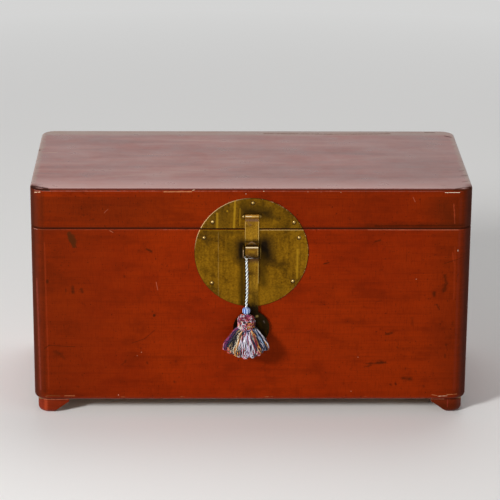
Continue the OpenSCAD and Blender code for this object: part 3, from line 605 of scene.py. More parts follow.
topFrontMarks = cornerMarks + [
    # the front arris: dark chipped ends, a painted highlight line below the arris, and small pale chips
    (-378, 413.6, -346, 412.2, 2.2, "black", 0.92, 0.5, 0.8),
    (-229.5, 411.7, -226.5, 411.7, 1.2, "black", 0.8, 0.6, 0.8),
    (346, 412.8, 378, 412.8, 1.7, "umber", 0.85, 0.6, 0.8),
    (-372, 410.8, -215, 410.8, 0.6, "blossom", 0.34, 0.5, 1.8),
    (-215, 410.8, 330, 410.8, 0.6, "blossom", 0.2, 0.6, 1.8),
    (-371, 406.8, -367.5, 407.6, 1.1, "pale", 0.85, 0.6, 1.8),
    (-365.2, 408.2, -362, 408.8, 1.1, "pale", 0.85, 0.6, 1.8),
    (-150, 409.6, -103, 409.8, 1, "tan", 0.72, 0.5, 1.8),
    (-101.5, 412, -98.5, 413, 0.9, "pale", 0.7, 0.6, 0.8),
    (331, 408.6, 356, 408.8, 0.55, "white", 0.9, 0.5, 0.8),
    (152.4, 409, 152.4, 409, 0.9, "pale", 0.75, 0.6, 0.3),
    (95.9, 409.6, 95.9, 409.6, 0.7, "pale", 0.65, 0.6, 0.3),
    (118.2, 409.4, 118.2, 409.4, 0.6, "pale", 0.6, 0.6, 0.3),
    (20, 410.8, 20.8, 410.8, 0.7, "white", 0.75, 0.6, 0.3),
    (-10.2, 406, -10.2, 406, 0.8, "white", 0.7, 0.6, 0.3),
]

# marks on the top, across and back
topMarks = [
    (-378, 60, -377, 56, 1.8, "black", 0.9, 0.4, 0.8),
    (-376, 52, -366, 60, 1, "umber", 0.6, 0.6, 0.8),
    (-378, -86, -330, -92, 0.9, "umber", 0.6, 0.6, 0.8),
    (-372, 38, -345, 42, 0.9, "pale", 0.5, 0.6, 1.2),
    (-378, -163, -350, -176.5, 4, "black", 0.92, 0.5, 0.8),
    (350, -176.5, 378, -166, 2.8, "black", 0.8, 0.7, 0.8),
    # painted reflection: darker towards the back and the right
    (310, 170, 310, -100, 140, "russet", 0.24, 1, 0.3),
    (-260, 160, 120, 160, 45, "russet", 0.12, 1, 0.3),
    (-250, 34, -140, 28, 0.8, "blush", 0.35, 0.8, 1.8),
    (-159, -88, -156, -78, 1.4, "umber", 0.5, 0.8, 1.2),
    (-98, -22, -96, -20, 1.4, "umber", 0.5, 0.8, 0.8),
    (-270, -38, -268, -38, 1.4, "umber", 0.35, 0.8, 0.8),
    (374, -70, 366, -72, 1.3, "black", 0.8, 0.6, 0.8),
    (377, -98, 366, -101, 1.2, "black", 0.7, 0.6, 0.8),
    (376, -132, 364, -138, 1.2, "black", 0.7, 0.6, 0.8),
    (362, -20, 350, -22, 1.2, "umber", 0.5, 0.7, 0.8),
    (344, 112, 342, 112, 2, "umber", 0.4, 0.8, 0.8),
    (373, 144, 362, 153, 2.4, "black", 0.85, 0.7, 1.2),
    (345, 175, 328, 177, 1.8, "black", 0.8, 0.7, 1.2),
    (30, 168, 140, 164, 3.6, "black", 0.42, 1, 2.6),
    (140, 164, 262, 167, 3.6, "black", 0.46, 1, 2.6),
    # rose bands of painted reflection across the top
    (60, 96, 150, 88, 2.4, "rose", 0.25, 1, 0.8),
    (-20, -40, 200, -36, 2.4, "rose", 0.22, 1, 0.8),
    (200, -60, 360, -58, 6, "rose", 0.25, 1, 0.8),
    (326, -158, 333, -160, 1.6, "umber", 0.45, 0.8, 1.2),
]

footMarks = [
    # painted shadow under the body's bottom edge, over the right foot and on the left foot's inner side;
    # painted highlights on the feet's fronts and top edges
    (-380, 27, -300, 27, 5, "black", 0.75, 1, 0.3),
    (300, 27, 380, 27, 6, "black", 0.85, 1, 0.3),
    (305, 10, 390, 10, 30, "umber", 0.74, 0.9, 0.3),
    (-330, 3, -322, 3, 2, "dark", 0.5, 0.9, 1.2),
    (-360, 21, -360, 5, 5, "flame", 0.35, 1, 0.8),
    (-345, 12, -300, 12, 16, "umber", 0.35, 1, 0.8),
    (-364, 25.3, -318, 25.3, 0.7, "blush", 0.6, 0.6, 1.8),
    (348.5, 24, 348.5, 10, 1.1, "ruby", 0.7, 0.9, 1.8),
    (312.5, 25.3, 342, 25.3, 0.6, "blush", 0.5, 0.6, 1.8),
]


def insideMask(place):
    # 1 on what faces into the chest or lies under it, where the wood was never lacquered
    x, y, z = place.parts()
    return (abs(x) < bareHalfWidth) * (abs(y - midY) < bareHalfDepth) * (z < bareTop)


hazeAndReflectionSettings = {
    "hazeAndReflection": srgb(162, 122, 115), "streak": srgb(84, 28, 18), "paleStreak": srgb(170, 132, 118),
    "front": srgb(182, 132, 124), "edge": srgb(140, 126, 108),
}


def topHazeAndReflection(settings, place, colour, inward, broken):
    # the top's pale haze, partly painted reflection: pale all over, paler along the front, grey-green along
    # the back and sides
    x, y, z = place.parts()
    hazeAndReflection = place.noise(9.0, 5.0, 0.6).remap(0.3, 0.75, 0.04, 0.46).mix(colour, settings["hazeAndReflection"])
    streaks = place.stretched((3.0, 24, 1)).noise(1.0, 4.0, 0.58, 0.7)
    hazeAndReflection = streaks.remap(0.48, 0.70, 0.0, 0.62).mix(hazeAndReflection, settings["streak"])
    hazeAndReflection = streaks.remap(0.46, 0.26, 0.0, 0.34).mix(hazeAndReflection, settings["paleStreak"])
    hazeAndReflection = y.remap(frontY + 0.070, frontY + 0.004, 0.0, 0.86).mix(hazeAndReflection, settings["front"])
    backEdge = y.remap(midY + 0.148, midY + 0.160, 0.0, 0.55)
    sideEdge = (inward + broken).remap(0.011, 0.004, 0.0, 0.55)
    edge = backEdge.most(sideEdge) * y.remap(frontY + 0.01, frontY + 0.05)
    hazeAndReflection = edge.mix(hazeAndReflection, settings["edge"])
    onTop = z.remap(topZ - 0.0020, topZ - 0.0010)
    return onTop.mix(colour, hazeAndReflection), onTop


def paintLines(place, broken, colour, dulled, lines, strength=0.85):
    # broken lines round the edges of the boards: wear, dark seams, and painted highlights and shade
    for low, high, depth, amount, until, paint in lines:
        mask = place.through(wallGroup, {
            "Low": low, "High": high, "Depth": depth, "Ragged": broken, "Amount": amount, "Until": until,
        })["Mask"]
        colour = (mask * strength).mix(colour, paints[paint])
        dulled = mask.most(dulled)
    return colour, dulled


def lacquerMaterial(name, settings, marks, upperMarks=()):
    # the dull mask is 1 where black marks and edge lines lie, wear and painted light and shade alike; inner
    # is 1 on bare wood
    material, tree, shader = newMaterial(
        name, IOR=1.42, Specular_Tint=(1.0, 0.20, 0.04, 1.0), Coat_Roughness=0.12, Coat_IOR=1.45)
    place = objectPlace(tree)
    tone = place.through(toneGroup, settings["tone"])
    colour = tone["Color"]
    ragged = raggedNoise(place)
    broken = raggedNoise(place, 75.0)
    inner = insideMask(place)
    onTop = None
    dulled = 0.0
    if upperMarks:
        inward = place.through(wallGroup)["Inward"]
        colour, onTop = topHazeAndReflection(hazeAndReflectionSettings, place, colour, inward, broken * 0.02)
        colour, dulled = paintMarks(topPlace(place), ragged, colour, upperMarks)
    colour, dulled = paintLines(place, broken, colour, dulled, settings["lines"])
    x, y, z = place.parts()
    painted, blackMarked = paintMarks(frontPlace(place), ragged, colour, marks)
    # the front's marks fade out behind its rounded corners
    inFront = y.remap(frontY + 0.042, frontY + 0.012)
    colour = inFront.mix(colour, painted)
    dulled = (inFront * blackMarked).most(dulled)
    wood = place.through(grainGroup)
    colour = inner.mix(colour, wood["Color"])
    rough = tone["Smudge"].remap(0.3, 0.7, settings["roughness"] - 0.05, settings["roughness"] + 0.09)
    # bare wood, the front's rounded corners, and the black marks and edge lines are dull
    turned = abs(x).remap(halfWidth - 0.014, halfWidth - 0.006) * y.remap(frontY + 0.034, frontY + 0.020)
    rough = rough + inner * 0.3 + turned * 0.42
    rough = rough.calc("ADD", dulled * 0.45, clamp=True)
    if onTop is not None:
        coat = (1.0 - inner.most(dulled)) * (onTop * 0.32)
        connect(coat, shader.inputs["Coat Weight"])
    height = tone["Height"] - dulled * 0.25 + wood["Tone"] * inner * 0.5
    setSurface(shader, colour, rough, height, 0.25, 0.0012)
    return material


lacquerBody = lacquerMaterial("lacquerBody", lacquerSettings["body"], bodyMarks)
lacquerLid = lacquerMaterial("lacquerLid", lacquerSettings["lid"], lidMarks)
lacquerTop = lacquerMaterial("lacquerTop", lacquerSettings["top"], topFrontMarks, topMarks)
lacquerFoot = lacquerMaterial("lacquerFoot", lacquerSettings["foot"], footMarks)


def bareWoodMaterial(name, grain):
    material, tree, shader = newMaterial(name)
    wood = objectPlace(tree).through(grainGroup, {"Stretch": grain})
    rough = wood["Tone"].remap(0.2, 0.8, 0.5, 0.7)
    setSurface(shader, wood["Color"], rough, wood["Tone"], 0.35, 0.0008)
    return material


bareWoodLong = bareWoodMaterial("bareWoodLong", grainAlong)
bareWoodAcross = bareWoodMaterial("bareWoodAcross", grainAcross)

print("brass")

# each brass: the colours, scale and spread of its patina, then its roughness
brassSettings = {
    "plate": ({
        "Bright": srgb(148, 105, 16), "Dull": srgb(94, 62, 6), "Tarnish": srgb(52, 37, 8),
        "Scale": 26.0, "Spread": 0.44,
    }, 0.42),
    "strap": ({
        "Bright": srgb(180, 134, 34), "Dull": srgb(112, 78, 16), "Tarnish": srgb(66, 46, 18),
        "Scale": 42.0, "Spread": 0.42,
    }, 0.40),
    "loop": ({
        "Bright": srgb(146, 104, 34), "Dull": srgb(92, 62, 16), "Tarnish": srgb(54, 36, 14),
        "Scale": 42.0, "Spread": 0.42,
    }, 0.40),
    "barrel": ({
        "Bright": srgb(184, 132, 50), "Dull": srgb(120, 80, 22), "Tarnish": srgb(66, 42, 14),
        "Scale": 42.0, "Spread": 0.38,
    }, 0.24),
    "dark": ({
        "Bright": srgb(108, 84, 34), "Dull": srgb(58, 42, 14), "Tarnish": srgb(26, 19, 9),
        "Scale": 60.0, "Spread": 0.50,
    }, 0.44),
    "nail": ({
        "Bright": srgb(206, 178, 118), "Dull": srgb(150, 118, 56), "Tarnish": srgb(84, 62, 26),
        "Scale": 90.0, "Spread": 0.40,
    }, 0.30),
}

nailPlaces = [(2, 390.4), (73, 355.6), (-67.2, 356.4), (81.8, 327.9), (-81.6, 327.9),
              (71.9, 248.8), (-68.1, 245.8)]
plateRim = {
    "centre": (0.0, frontY, 0.3004), "radius": 0.0983, "dull": srgb(84, 56, 18), "lit": srgb(236, 206, 150),
}

plateMarks = [
    # soot and painted shadow round the hinge and the loop, painted shadow in olive beside the strap
    (-10, 376, 26, 372, 18, "sootAndShadow", 0.88, 1, 0.3),
    (24, 369, 46, 362, 6, "sootAndShadow", 0.45, 1, 0.4),
    (-20, 366, 60, 366, 60, "olive", 0.22, 1, 0.3),
    (-15, 392, -15, 388, 11, "olive", 0.7, 1, 0.5),
    (8, 384, 22, 381, 4, "olive", 0.6, 1, 0.8),
    (-50, 374, -56, 350, 34, "sootAndShadow", 0.42, 1, 0.3),
    (-17, 315, -17, 293, 19, "sootAndShadow", 0.98, 0.85, 0.2),
    (22, 316, 25, 296, 25, "sootAndShadow", 0.99, 0.85, 0.15),
    (18, 292, 21, 245, 14, "olive", 0.8, 1, 0.3),
    (-16, 285, -16, 206, 7.5, "olive", 0.95, 0.9, 0.3),
    (-70, 336.5, -18, 336.5, 6.5, "olive", 0.4, 1, 0.6),
    (-79, 333, -76, 318, 10, "sootAndShadow", 0.5, 1, 0.6),
    (-38, 318, -36, 300, 14, "olive", 0.5, 1, 0.5),
    (44, 238, 52, 236, 8, "olive", 0.4, 1, 0.6),
    (50, 275, 58, 268, 9, "olive", 0.3, 1, 0.6),
    (38, 348, 60, 346, 4, "olive", 0.45, 1, 0.8),
    (-85, 270, -78, 262, 8, "olive", 0.35, 1, 0.6),
    # brighter upright streaks
    (-59.2, 371, -59.2, 346, 2.8, "gold", 0.55, 0.7, 0.8),
    (-28.5, 394, -30.5, 346, 2.7, "gold", 0.62, 0.7, 0.9),
    (-42, 375.7, -42, 375.7, 2, "gold", 0.7, 0.6, 0.5),
    (79.7, 306, 79.2, 254, 3, "gold", 0.6, 1, 0.6),
    (84.5, 318, 84, 262, 0.7, "olive", 0.45, 0.7, 1.2),
    (-57.2, 338, -56.8, 221, 0.7, "glint", 0.15, 0.8, 2),
    (-59, 300, -59, 255, 0.7, "olive", 0.35, 0.7, 1.2),
    (-20, 380, -20.5, 350, 1.3, "gold", 0.45, 0.8, 1.4),
    # the seam between the two halves
    (-96, 343.9, 96, 343.9, 1.2, "sootAndShadow", 0.96, 0.3, 0.1),
    (13.5, 341.5, 89, 341.5, 0.55, "glint", 0.72, 0.4, 0.6),
    (-88, 341.2, -14, 341.2, 0.6, "gold", 0.4, 0.6, 1.2),
# soot and painted shadow round each nail head
] + [(x, z - 0.8, x, z - 0.8, 4.9, "sootAndShadow", 0.88, 0.6, 0.5) for x, z in nailPlaces]

strapMarks = [
    # painted highlights and wear along both edges, a painted highlight along the barrel, painted shade
    # under it
    (-10.2, 368.6, 0, 368.6, 1, "shine", 0.9, 0.8, 0.4),
    (0, 368.6, 11, 368.6, 0.9, "glint", 0.8, 0.8, 0.6),
    (-11.1, 358, -11.1, 320, 0.7, "glint", 0.6, 0.7, 0.8),
    (12.1, 358, 12.1, 320, 0.75, "glint", 0.8, 0.6, 0.6),
    (12.1, 286, 12.1, 246, 0.7, "glint", 0.65, 0.7, 1),
    (-9, 360.5, 10, 360.5, 4.2, "plum", 0.8, 0.9, 0.7),
    (-6, 355, -2, 352, 3.5, "plum", 0.4, 1, 1.2),
    # soot and painted shade round the loop and down the strap's left side, its pointed flange greyer
    (-10.5, 321.5, 11.5, 321.5, 6.5, "sootAndShadow", 0.85, 0.9, 0.4),
    (-10.5, 289, 11.5, 289, 8, "shadowGrey", 0.85, 0.9, 0.4),
    (-10.5, 285, -10.5, 205, 8.5, "sootAndShadow", 0.85, 1, 0.4),
    (0.5, 288, 0.5, 200, 24, "olive", 0.26, 1, 0.3),
    (9, 276, 8, 244, 2, "brown", 0.45, 1, 1),
    (11, 222, 0, 196, 16, "olive", 0.55, 1, 0.3),
    # the rounded end is nearly black with old polish, with painted shade on its left part and painted
    # highlights on its curls
    (0.5, 168, 0.5, 158, 44, "sootAndShadow", 0.96, 0.2, 0.3),
    (-25, 170, -25, 150, 18, "night", 0.85, 1, 0.3),
    (10, 185, 10, 185, 3.2, "glint", 0.55, 0.9, 1.6),
    (22, 176, 23.5, 173, 1.5, "grey", 0.45, 0.9, 1.6),
    (14, 172, 18, 164, 4, "olive", 0.7, 0.9, 1.6),
    (25, 158, 28, 150, 2.4, "olive", 0.8, 0.9, 1.6),
]

bridgeMarks = [
    # a painted highlight along the loop's top and right edge, painted shade on its lower face
    (-10.8, 313.9, 12, 313.9, 1.2, "shine", 0.8, 0.7, 0.4),
    (-11, 296, 12, 296, 7.5, "sootAndShadow", 0.85, 1, 0.3),
    (10.6, 311, 10.6, 300, 1, "glint", 0.35, 0.8, 0.8),
    (-9.5, 300.5, 0, 296.2, 0.7, "grey", 0.4, 0.8, 1),
    (-3, 307, 4, 306, 3, "gold", 0.4, 1, 1),
    # the pointed flanges, soot and painted shade above the loop, painted shadow under it
    (-5, 317.6, 0.5, 321, 1.2, "grey", 0.55, 0.9, 1),
    (6, 317.6, 0.5, 321, 1.2, "grey", 0.55, 0.9, 1),
    (-10.8, 316, 12, 316, 1, "sootAndShadow", 0.85, 0.7, 0.3),
    (-10.8, 291, 12, 291, 3.6, "shadowGrey", 0.8, 0.8, 0.3),
]

earMarks = [
    # painted highlights along the ears' outer edges
    (-14.3, 309, -14.3, 291, 0.7, "pale", 0.6, 0.8, 0.8),
    (15.3, 294, 15.3, 291, 0.7, "pale", 0.6, 0.8, 0.8),
]


def rimShine(rim, place, ragged, colour, rough):
    # the plate's thin bevel has a painted highlight along its upper left and in dots at its right, and is
    # dull elsewhere
    away = place.minus(rim["centre"]).stretched((1, 0, 1))
    edge = away.length().remap(rim["radius"] - 0.0010, rim["radius"] - 0.0006)
    towards = away.dot((-7.1, 0, 7.3))
    right = away.dot((10.0, 0, 3.0))
    dotted = ragged.remap(0.02, 0.14, 0.0, 0.75) * right.remap(0.2, 0.6)
    lit = towards.remap(0.72, 0.94, 0.0, 0.92).most(dotted)
    colour = edge.mix(colour, rim["dull"])
    colour = (edge * lit).mix(colour, rim["lit"])
    return colour, rough.calc("ADD", edge * 0.45, clamp=True)


def brassMaterial(name, kind, marks=(), rim=None, polishedFrom=None):
    material, tree, shader = newMaterial(
        name, Metallic=0.80, IOR=1.25, Specular_Tint=(1.0, 0.86, 0.55, 1.0))
    place = objectPlace(tree)
    ragged = raggedNoise(place)
    patinaInputs, roughness = brassSettings[kind]
    made = place.through(patinaGroup, patinaInputs)
    colour = made["Color"]
    rough = made["Clouds"].remap(0.3, 0.7, roughness + 0.10, roughness - 0.06)
    if rim:
        colour, rough = rimShine(rim, place, ragged, colour, rough)
    if polishedFrom:
        # the rolled barrel above this height is kept bright by use
        upper = place.parts()[2].remap(polishedFrom, polishedFrom + 0.0015)
        barrelInputs, barrelRoughness = brassSettings["barrel"]
        colour = upper.mix(colour, place.through(patinaGroup, barrelInputs)["Color"])
        rough = addNode(tree, "ShaderNodeMix", {0: upper, 2: rough, 3: barrelRoughness})
    colour = paintMarks(frontPlace(place), ragged, colour, marks)[0]
    setSurface(shader, colour, rough, made["Height"], 0.25, 0.0010)
    return material


plateBrass = brassMaterial("plateBrass", "plate", plateMarks, rim=plateRim)
strapBrass = brassMaterial("strapBrass", "strap", strapMarks, polishedFrom=0.3632)
bridgeBrass = brassMaterial("bridgeBrass", "loop", bridgeMarks)
darkBrass = brassMaterial("darkBrass", "dark", earMarks)
hingeBrass = brassMaterial("hingeBrass", "plate")
nailBrass = brassMaterial("nailBrass", "nail")

print("materials on the packed parts")


def bothEnds(*names):
    return [name + end for name in names for end in ("_left", "_right")]


finishes = [
    (lacquerBody, ["body_front", "body_back"] + bothEnds("body")),
    (lacquerLid, ["lid_front", "lid_back"] + bothEnds("lid")),
    (lacquerTop, ["lid_top"]),
    (lacquerFoot, bothEnds("foot_front", "foot_back")),
    (bareWoodLong, ["body_bottom", "rim_front", "rim_back"]),
    (bareWoodAcross, bothEnds("rim") + ["lid_battens"]),
    (plateBrass, ["body_lock_plate", "lid_lock_plate"]),
    (strapBrass, ["hasp_strap"]),
    (bridgeBrass, ["hasp_bridge"]),
    (hingeBrass, bothEnds("hinge_body_leaf", "hinge_lid_leaf", "handle_plate")),
    (darkBrass, ["lock_ears", "hasp_eyes", "hinge_pins"] + bothEnds("handle_posts", "handle_bail")),
    (nailBrass, ["body_plate_nails", "lid_plate_nails", "hinge_body_nails", "hinge_lid_nails",
                 "handle_nails", "hasp_pin"]),
]
for material, names in finishes:
    for name in names:
        part = cadNodes[name]
        if part.material_slots:
            for used in part.material_slots:
                used.material = material
        else:
            part.data.materials.append(material)

print("thread and yarn")

# where the tassel hangs, how far it leans and where its head ends and its skirt begins
tasselAt = Vector((-0.0085, -0.189525, 0.2917))
tasselLean = math.radians(6)
headTop, headFoot = -0.1004, -0.1255


def onTassel(x, y, z):
    c, s = math.cos(tasselLean), math.sin(tasselLean)
    return tasselAt + Vector((x, y * c + z * s, z * c - y * s))


def threadMaterial(name, first, second, shade, plies=3.0, turns=30.0, depth=0.8, dark=None):
    # two plies may differ in colour; painted shade darkens the grooves between plies, and also what lies
    # to the right of the first x in dark, wholly from its second x on
    material, tree, shader = newMaterial(name, Sheen_Weight=0.2, Sheen_Roughness=0.5, IOR=1.32)
    place = objectPlace(tree)
    uv = outputsOf(tree.nodes.new("ShaderNodeTexCoord"))["UV"]
    made = uv.through(fibreGroup, {"Plies": plies, "Turns": turns})
    tone = made["Tone"] * 0.6 + place.noise(260.0, 2.0, 0.5) * 0.4
    colour = made["Ply"].mix(first, second)
    colour = tone.remap(0.36, 0.52, 0.50, 0.0).mix(colour, shade)
    colour = (made["Groove"] * depth).mix(colour, shade)
    if dark:
        colour = place.parts()[0].remap(*dark).mix(colour, shade)
    setSurface(shader, colour, tone.remap(0.3, 0.7, 0.95, 0.75), tone, 0.4, 0.0004)
    return material


# each yarn: the colours of its two sorts of plies and the shade between them
yarnColours = {
    "navy": (srgb(34, 38, 72), srgb(48, 54, 96), srgb(10, 11, 24)),
    "black": (srgb(26, 23, 32), srgb(48, 44, 58), srgb(7, 6, 10)),
    "plum": (srgb(116, 32, 96), srgb(70, 32, 82), srgb(36, 10, 34)),
    "magenta": (srgb(168, 34, 100), srgb(204, 72, 128), srgb(66, 10, 42)),
    "burgundy": (srgb(150, 28, 46), srgb(186, 66, 74), srgb(58, 10, 20)),
    "pink": (srgb(244, 148, 164), srgb(252, 206, 212), srgb(140, 44, 72)),
    "lavender": (srgb(216, 200, 236), srgb(240, 232, 250), srgb(96, 74, 122)),
    "white": (srgb(252, 250, 255), srgb(236, 228, 246), srgb(126, 112, 142)),
    "cream": (srgb(250, 236, 208), srgb(226, 200, 158), srgb(110, 84, 60)),
    "tan": (srgb(204, 170, 120), srgb(140, 112, 80), srgb(62, 44, 30)),
    "speckled": (srgb(230, 218, 194), srgb(34, 30, 38), srgb(20, 16, 20)),
    "orange": (srgb(240, 158, 70), srgb(248, 196, 126), srgb(126, 58, 18)),
    "coral": (srgb(240, 100, 80), srgb(250, 150, 126), srgb(138, 32, 28)),
    "sky": (srgb(182, 214, 246), srgb(226, 238, 252), srgb(66, 94, 146)),
}
yarnMaterials = {name: threadMaterial("yarn_" + name, *three) for name, three in yarnColours.items()}
yarnOrder = list(yarnColours)
yarnPalette = list(yarnMaterials.values())
cordThread = threadMaterial("cordThread", srgb(250, 254, 252), srgb(236, 246, 248), srgb(84, 98, 104),
                            2.0, 24.0, 1.0)
# painted shadow of the loop darkens the hitch's right half
hitchThread = threadMaterial("hitchThread", srgb(244, 242, 236), srgb(226, 224, 216), srgb(60, 52, 44),
                             2.0, 40.0, 0.5, dark=(0.0010, 0.0040))
# the soft cores inside head and skirt are nearly black, painted shade seen in the gaps between loops
woolCore = threadMaterial("woolCore", srgb(34, 16, 30), srgb(26, 14, 28), srgb(8, 5, 10), 8.0, 10.0)


def makeProfile(radius, plies, sides, depth):
    # the outline of a twisted thread: round, with a groove between its plies
    curve = bpy.data.curves.new("profile", "CURVE")
    curve.dimensions = "2D"
    line = curve.splines.new("POLY")
    line.points.add(sides - 1)
    for i in range(sides):
        angle = 2 * math.pi * i / sides
        r = radius * (1 - depth * (0.5 - 0.5 * math.cos(plies * angle)))
        line.points[i].co = (r * math.cos(angle), r * math.sin(angle), 0, 1)
    line.use_cyclic_u = True
    return addObject("profile", curve)


def addStrand(curve, points, colourIndex, closed, pitch):
    # one thread along the points, which turns once in each length of pitch
    line = curve.splines.new("POLY")
    line.points.add(len(points) - 1)
    total = sum((b - a).length for a, b in zip(points, points[1:]))
    turns = total / pitch
    if closed:
        # a whole number of turns round a closed strand
        total += (points[0] - points[-1]).length
        turns = max(1, round(total / pitch))
    gone = 0.0
    last = points[0]
    for i, point in enumerate(points):
        gone += (point - last).length
        last = point
        line.points[i].co = (point.x, point.y, point.z, 1)
        line.points[i].tilt = 2 * math.pi * turns * gone / total
    line.use_cyclic_u = closed
    line.material_index = colourIndex
    line.use_smooth = True


def threadPiece(name, strands, radius, palette, plies=3, sides=6, depth=0.24, pitch=0.007):
    # strands: (points, colour index, closed); a mesh of twisted threads along them
    profile = makeProfile(radius, plies, sides, depth)
    curve = bpy.data.curves.new(name, "CURVE")
    curve.dimensions = "3D"
    curve.bevel_mode = "OBJECT"
    curve.bevel_object = profile
    curve.use_fill_caps = True
    curve.twist_mode = "MINIMUM"
    # the colours come first, because a spline's index is held to the colours already there
    for material in palette:
        curve.materials.append(material)
    for points, colourIndex, closed in strands:
        addStrand(curve, points, colourIndex, closed, pitch)
    source = addObject(name + "Line", curve)
    bpy.context.view_layer.update()
    ready = source.evaluated_get(bpy.context.evaluated_depsgraph_get())
    mesh = bpy.data.meshes.new_from_object(ready)
    mesh.name = name
    bpy.data.objects.remove(source)
    bpy.data.objects.remove(profile)
    return addObject(name, mesh)


def smoothPath(points, count, steps=12):
    # an even run of points on a smooth curve through the given ones
    spots = [points[0] * 2 - points[1]] + list(points) + [points[-1] * 2 - points[-2]]
    fine = []
    for a, b, c, d in zip(spots, spots[1:], spots[2:], spots[3:]):
        for k in range(steps):
            t = k / steps
            fine.append(0.5 * ((2 * b) + (c - a) * t + (2 * a - 5 * b + 4 * c - d) * t * t
                               + (3 * b - a - 3 * c + d) * t * t * t))
    fine.append(points[-1].copy())
    lengths = [0.0]
    for a, b in zip(fine, fine[1:]):
        lengths.append(lengths[-1] + (b - a).length)
    even = []
    k = 0
    for i in range(count):
        want = lengths[-1] * i / (count - 1)
        while k < len(fine) - 2 and lengths[k + 1] < want:
            k += 1
        part = (want - lengths[k]) / max(lengths[k + 1] - lengths[k], 1e-9)
        even.append(fine[k].lerp(fine[k + 1], min(part, 1.0)))
    return even


print("hanging cord")

cordSettings = {
    "diameter": 0.0044, "pitch": 0.0126,
    # sideways and down from the knot, the same points as the solid's
    "route": [(0, -0.0028), (0.0002, -0.010), (0.0006, -0.020), (0.0010, -0.030), (0.0012, -0.040),
              (0.0012, -0.050), (0.0010, -0.060), (0.0006, -0.070), (0, -0.080), (0, -0.090), (0, -0.100)],
}


def buildCord(settings):
    line = smoothPath([onTassel(x, 0, z) for x, z in settings["route"]], 110)
    cord = threadPiece("tasselCord", [(line, 0, False)], settings["diameter"] / 2, [cordThread], plies=2,
                       sides=16, depth=0.42, pitch=settings["pitch"])
    return cord, line, sum((b - a).length for a, b in zip(line, line[1:]))


tasselCord, cordLine, cordLength = buildCord(cordSettings)
print("cord length", round(cordLength, 4))

print("hitch and knot")

hitchSettings = {
    # the turn's middle, half its length and its rounding, then the strand's and the knot's size
    "middle": (0.0005, frontY - 0.0102, 0.2952), "half": 0.0108, "turn": 0.0018,
    "strand": 0.0008, "knot": 0.00056,
}


def buildHitch(settings):
    # the turn of thin strand round the loop's lower wall, and the knot at its left end
    middle = Vector(settings["middle"])
    half, turn = settings["half"], settings["turn"]
    ring = []
    for end in (1, -1):
        ring += [middle + end * Vector((half * (1 - i / 10), 0, turn)) for i in range(20)]
        for i in range(10):
            a = math.pi * (0.5 + i / 10)
            ring.append(middle + end * Vector((turn * math.cos(a) - half, 0, turn * math.sin(a))))
    knotAt = Vector((tasselAt.x, middle.y, tasselAt.z))
    knot = []
    for i in range(72):
        t = 2 * math.pi * i / 72
        knot.append(knotAt + settings["knot"] * Vector((
            math.sin(t) + 2 * math.sin(2 * t), -1.5 * math.sin(3 * t), math.cos(t) - 2 * math.cos(2 * t))))
    return threadPiece("cordHitch", [(ring, 0, True), (knot, 0, True)], settings["strand"], [hitchThread],
                       plies=2, sides=8, depth=0.35, pitch=0.0032)


cordHitch = buildHitch(hitchSettings)

print("bead")

beadSettings = {
    "middle": -0.0915, "radius": 0.0068, "flutes": 9, "grooves": 0.06, "fullness": 0.4, "height": 0.99,
    "stripe": srgb(34, 64, 136), "ground": (srgb(128, 168, 228), srgb(206, 220, 246)),
}


def beadMaterial(settings):
    # blue stripes in the flutes on a paler ground of two tones, wound with fine thread
    material, tree, shader = newMaterial("beadThread", IOR=1.35)
    place = objectPlace(tree)
    x, y, z = place.minus(tuple(onTassel(0, 0, settings["middle"]))).parts()
    wave = (y.calc("ARCTAN2", x) * float(settings["flutes"])).calc("COSINE")
    stripe = (wave + raggedNoise(place, 240.0) * 1.7).remap(-0.45, 0.05)
    light = place.noise(130.0, 1.0).remap(0.4, 0.62).mix(*settings["ground"])
    threads = place.stretched((500, 500, 60)).noise(1.0, 2.0, 0.5)
    colour = stripe.mix(settings["stripe"], light)
    setSurface(shader, colour, stripe.remap(0.0, 1.0, 0.6, 0.42), threads, 0.5, 0.0004)
    return material


def buildBead(settings):
    radius, flutes = settings["radius"], settings["flutes"]
    bm = bmesh.new()
    bmesh.ops.create_uvsphere(bm, u_segments=flutes * 6, v_segments=20, radius=radius)
    for v in bm.verts:
        high = abs(v.co.z) / radius
        flat = math.hypot(v.co.x, v.co.y) / radius
        groove = 0.5 - 0.5 * math.cos(flutes * math.atan2(v.co.y, v.co.x))
        wide = (1 - settings["grooves"] * flat * groove) * (1 + settings["fullness"] * (1 - high) * high)
        v.co = Vector((v.co.x * wide, v.co.y * wide, v.co.z * settings["height"]))
    bmesh.ops.rotate(bm, verts=bm.verts, cent=(0, 0, 0), matrix=Matrix.Rotation(-tasselLean, 3, "X"))
    bmesh.ops.translate(bm, verts=bm.verts, vec=onTassel(0, 0, settings["middle"]))
    return meshPiece("tasselBead", bm, beadMaterial(settings))


tasselBead = buildBead(beadSettings)

print("knotted head")

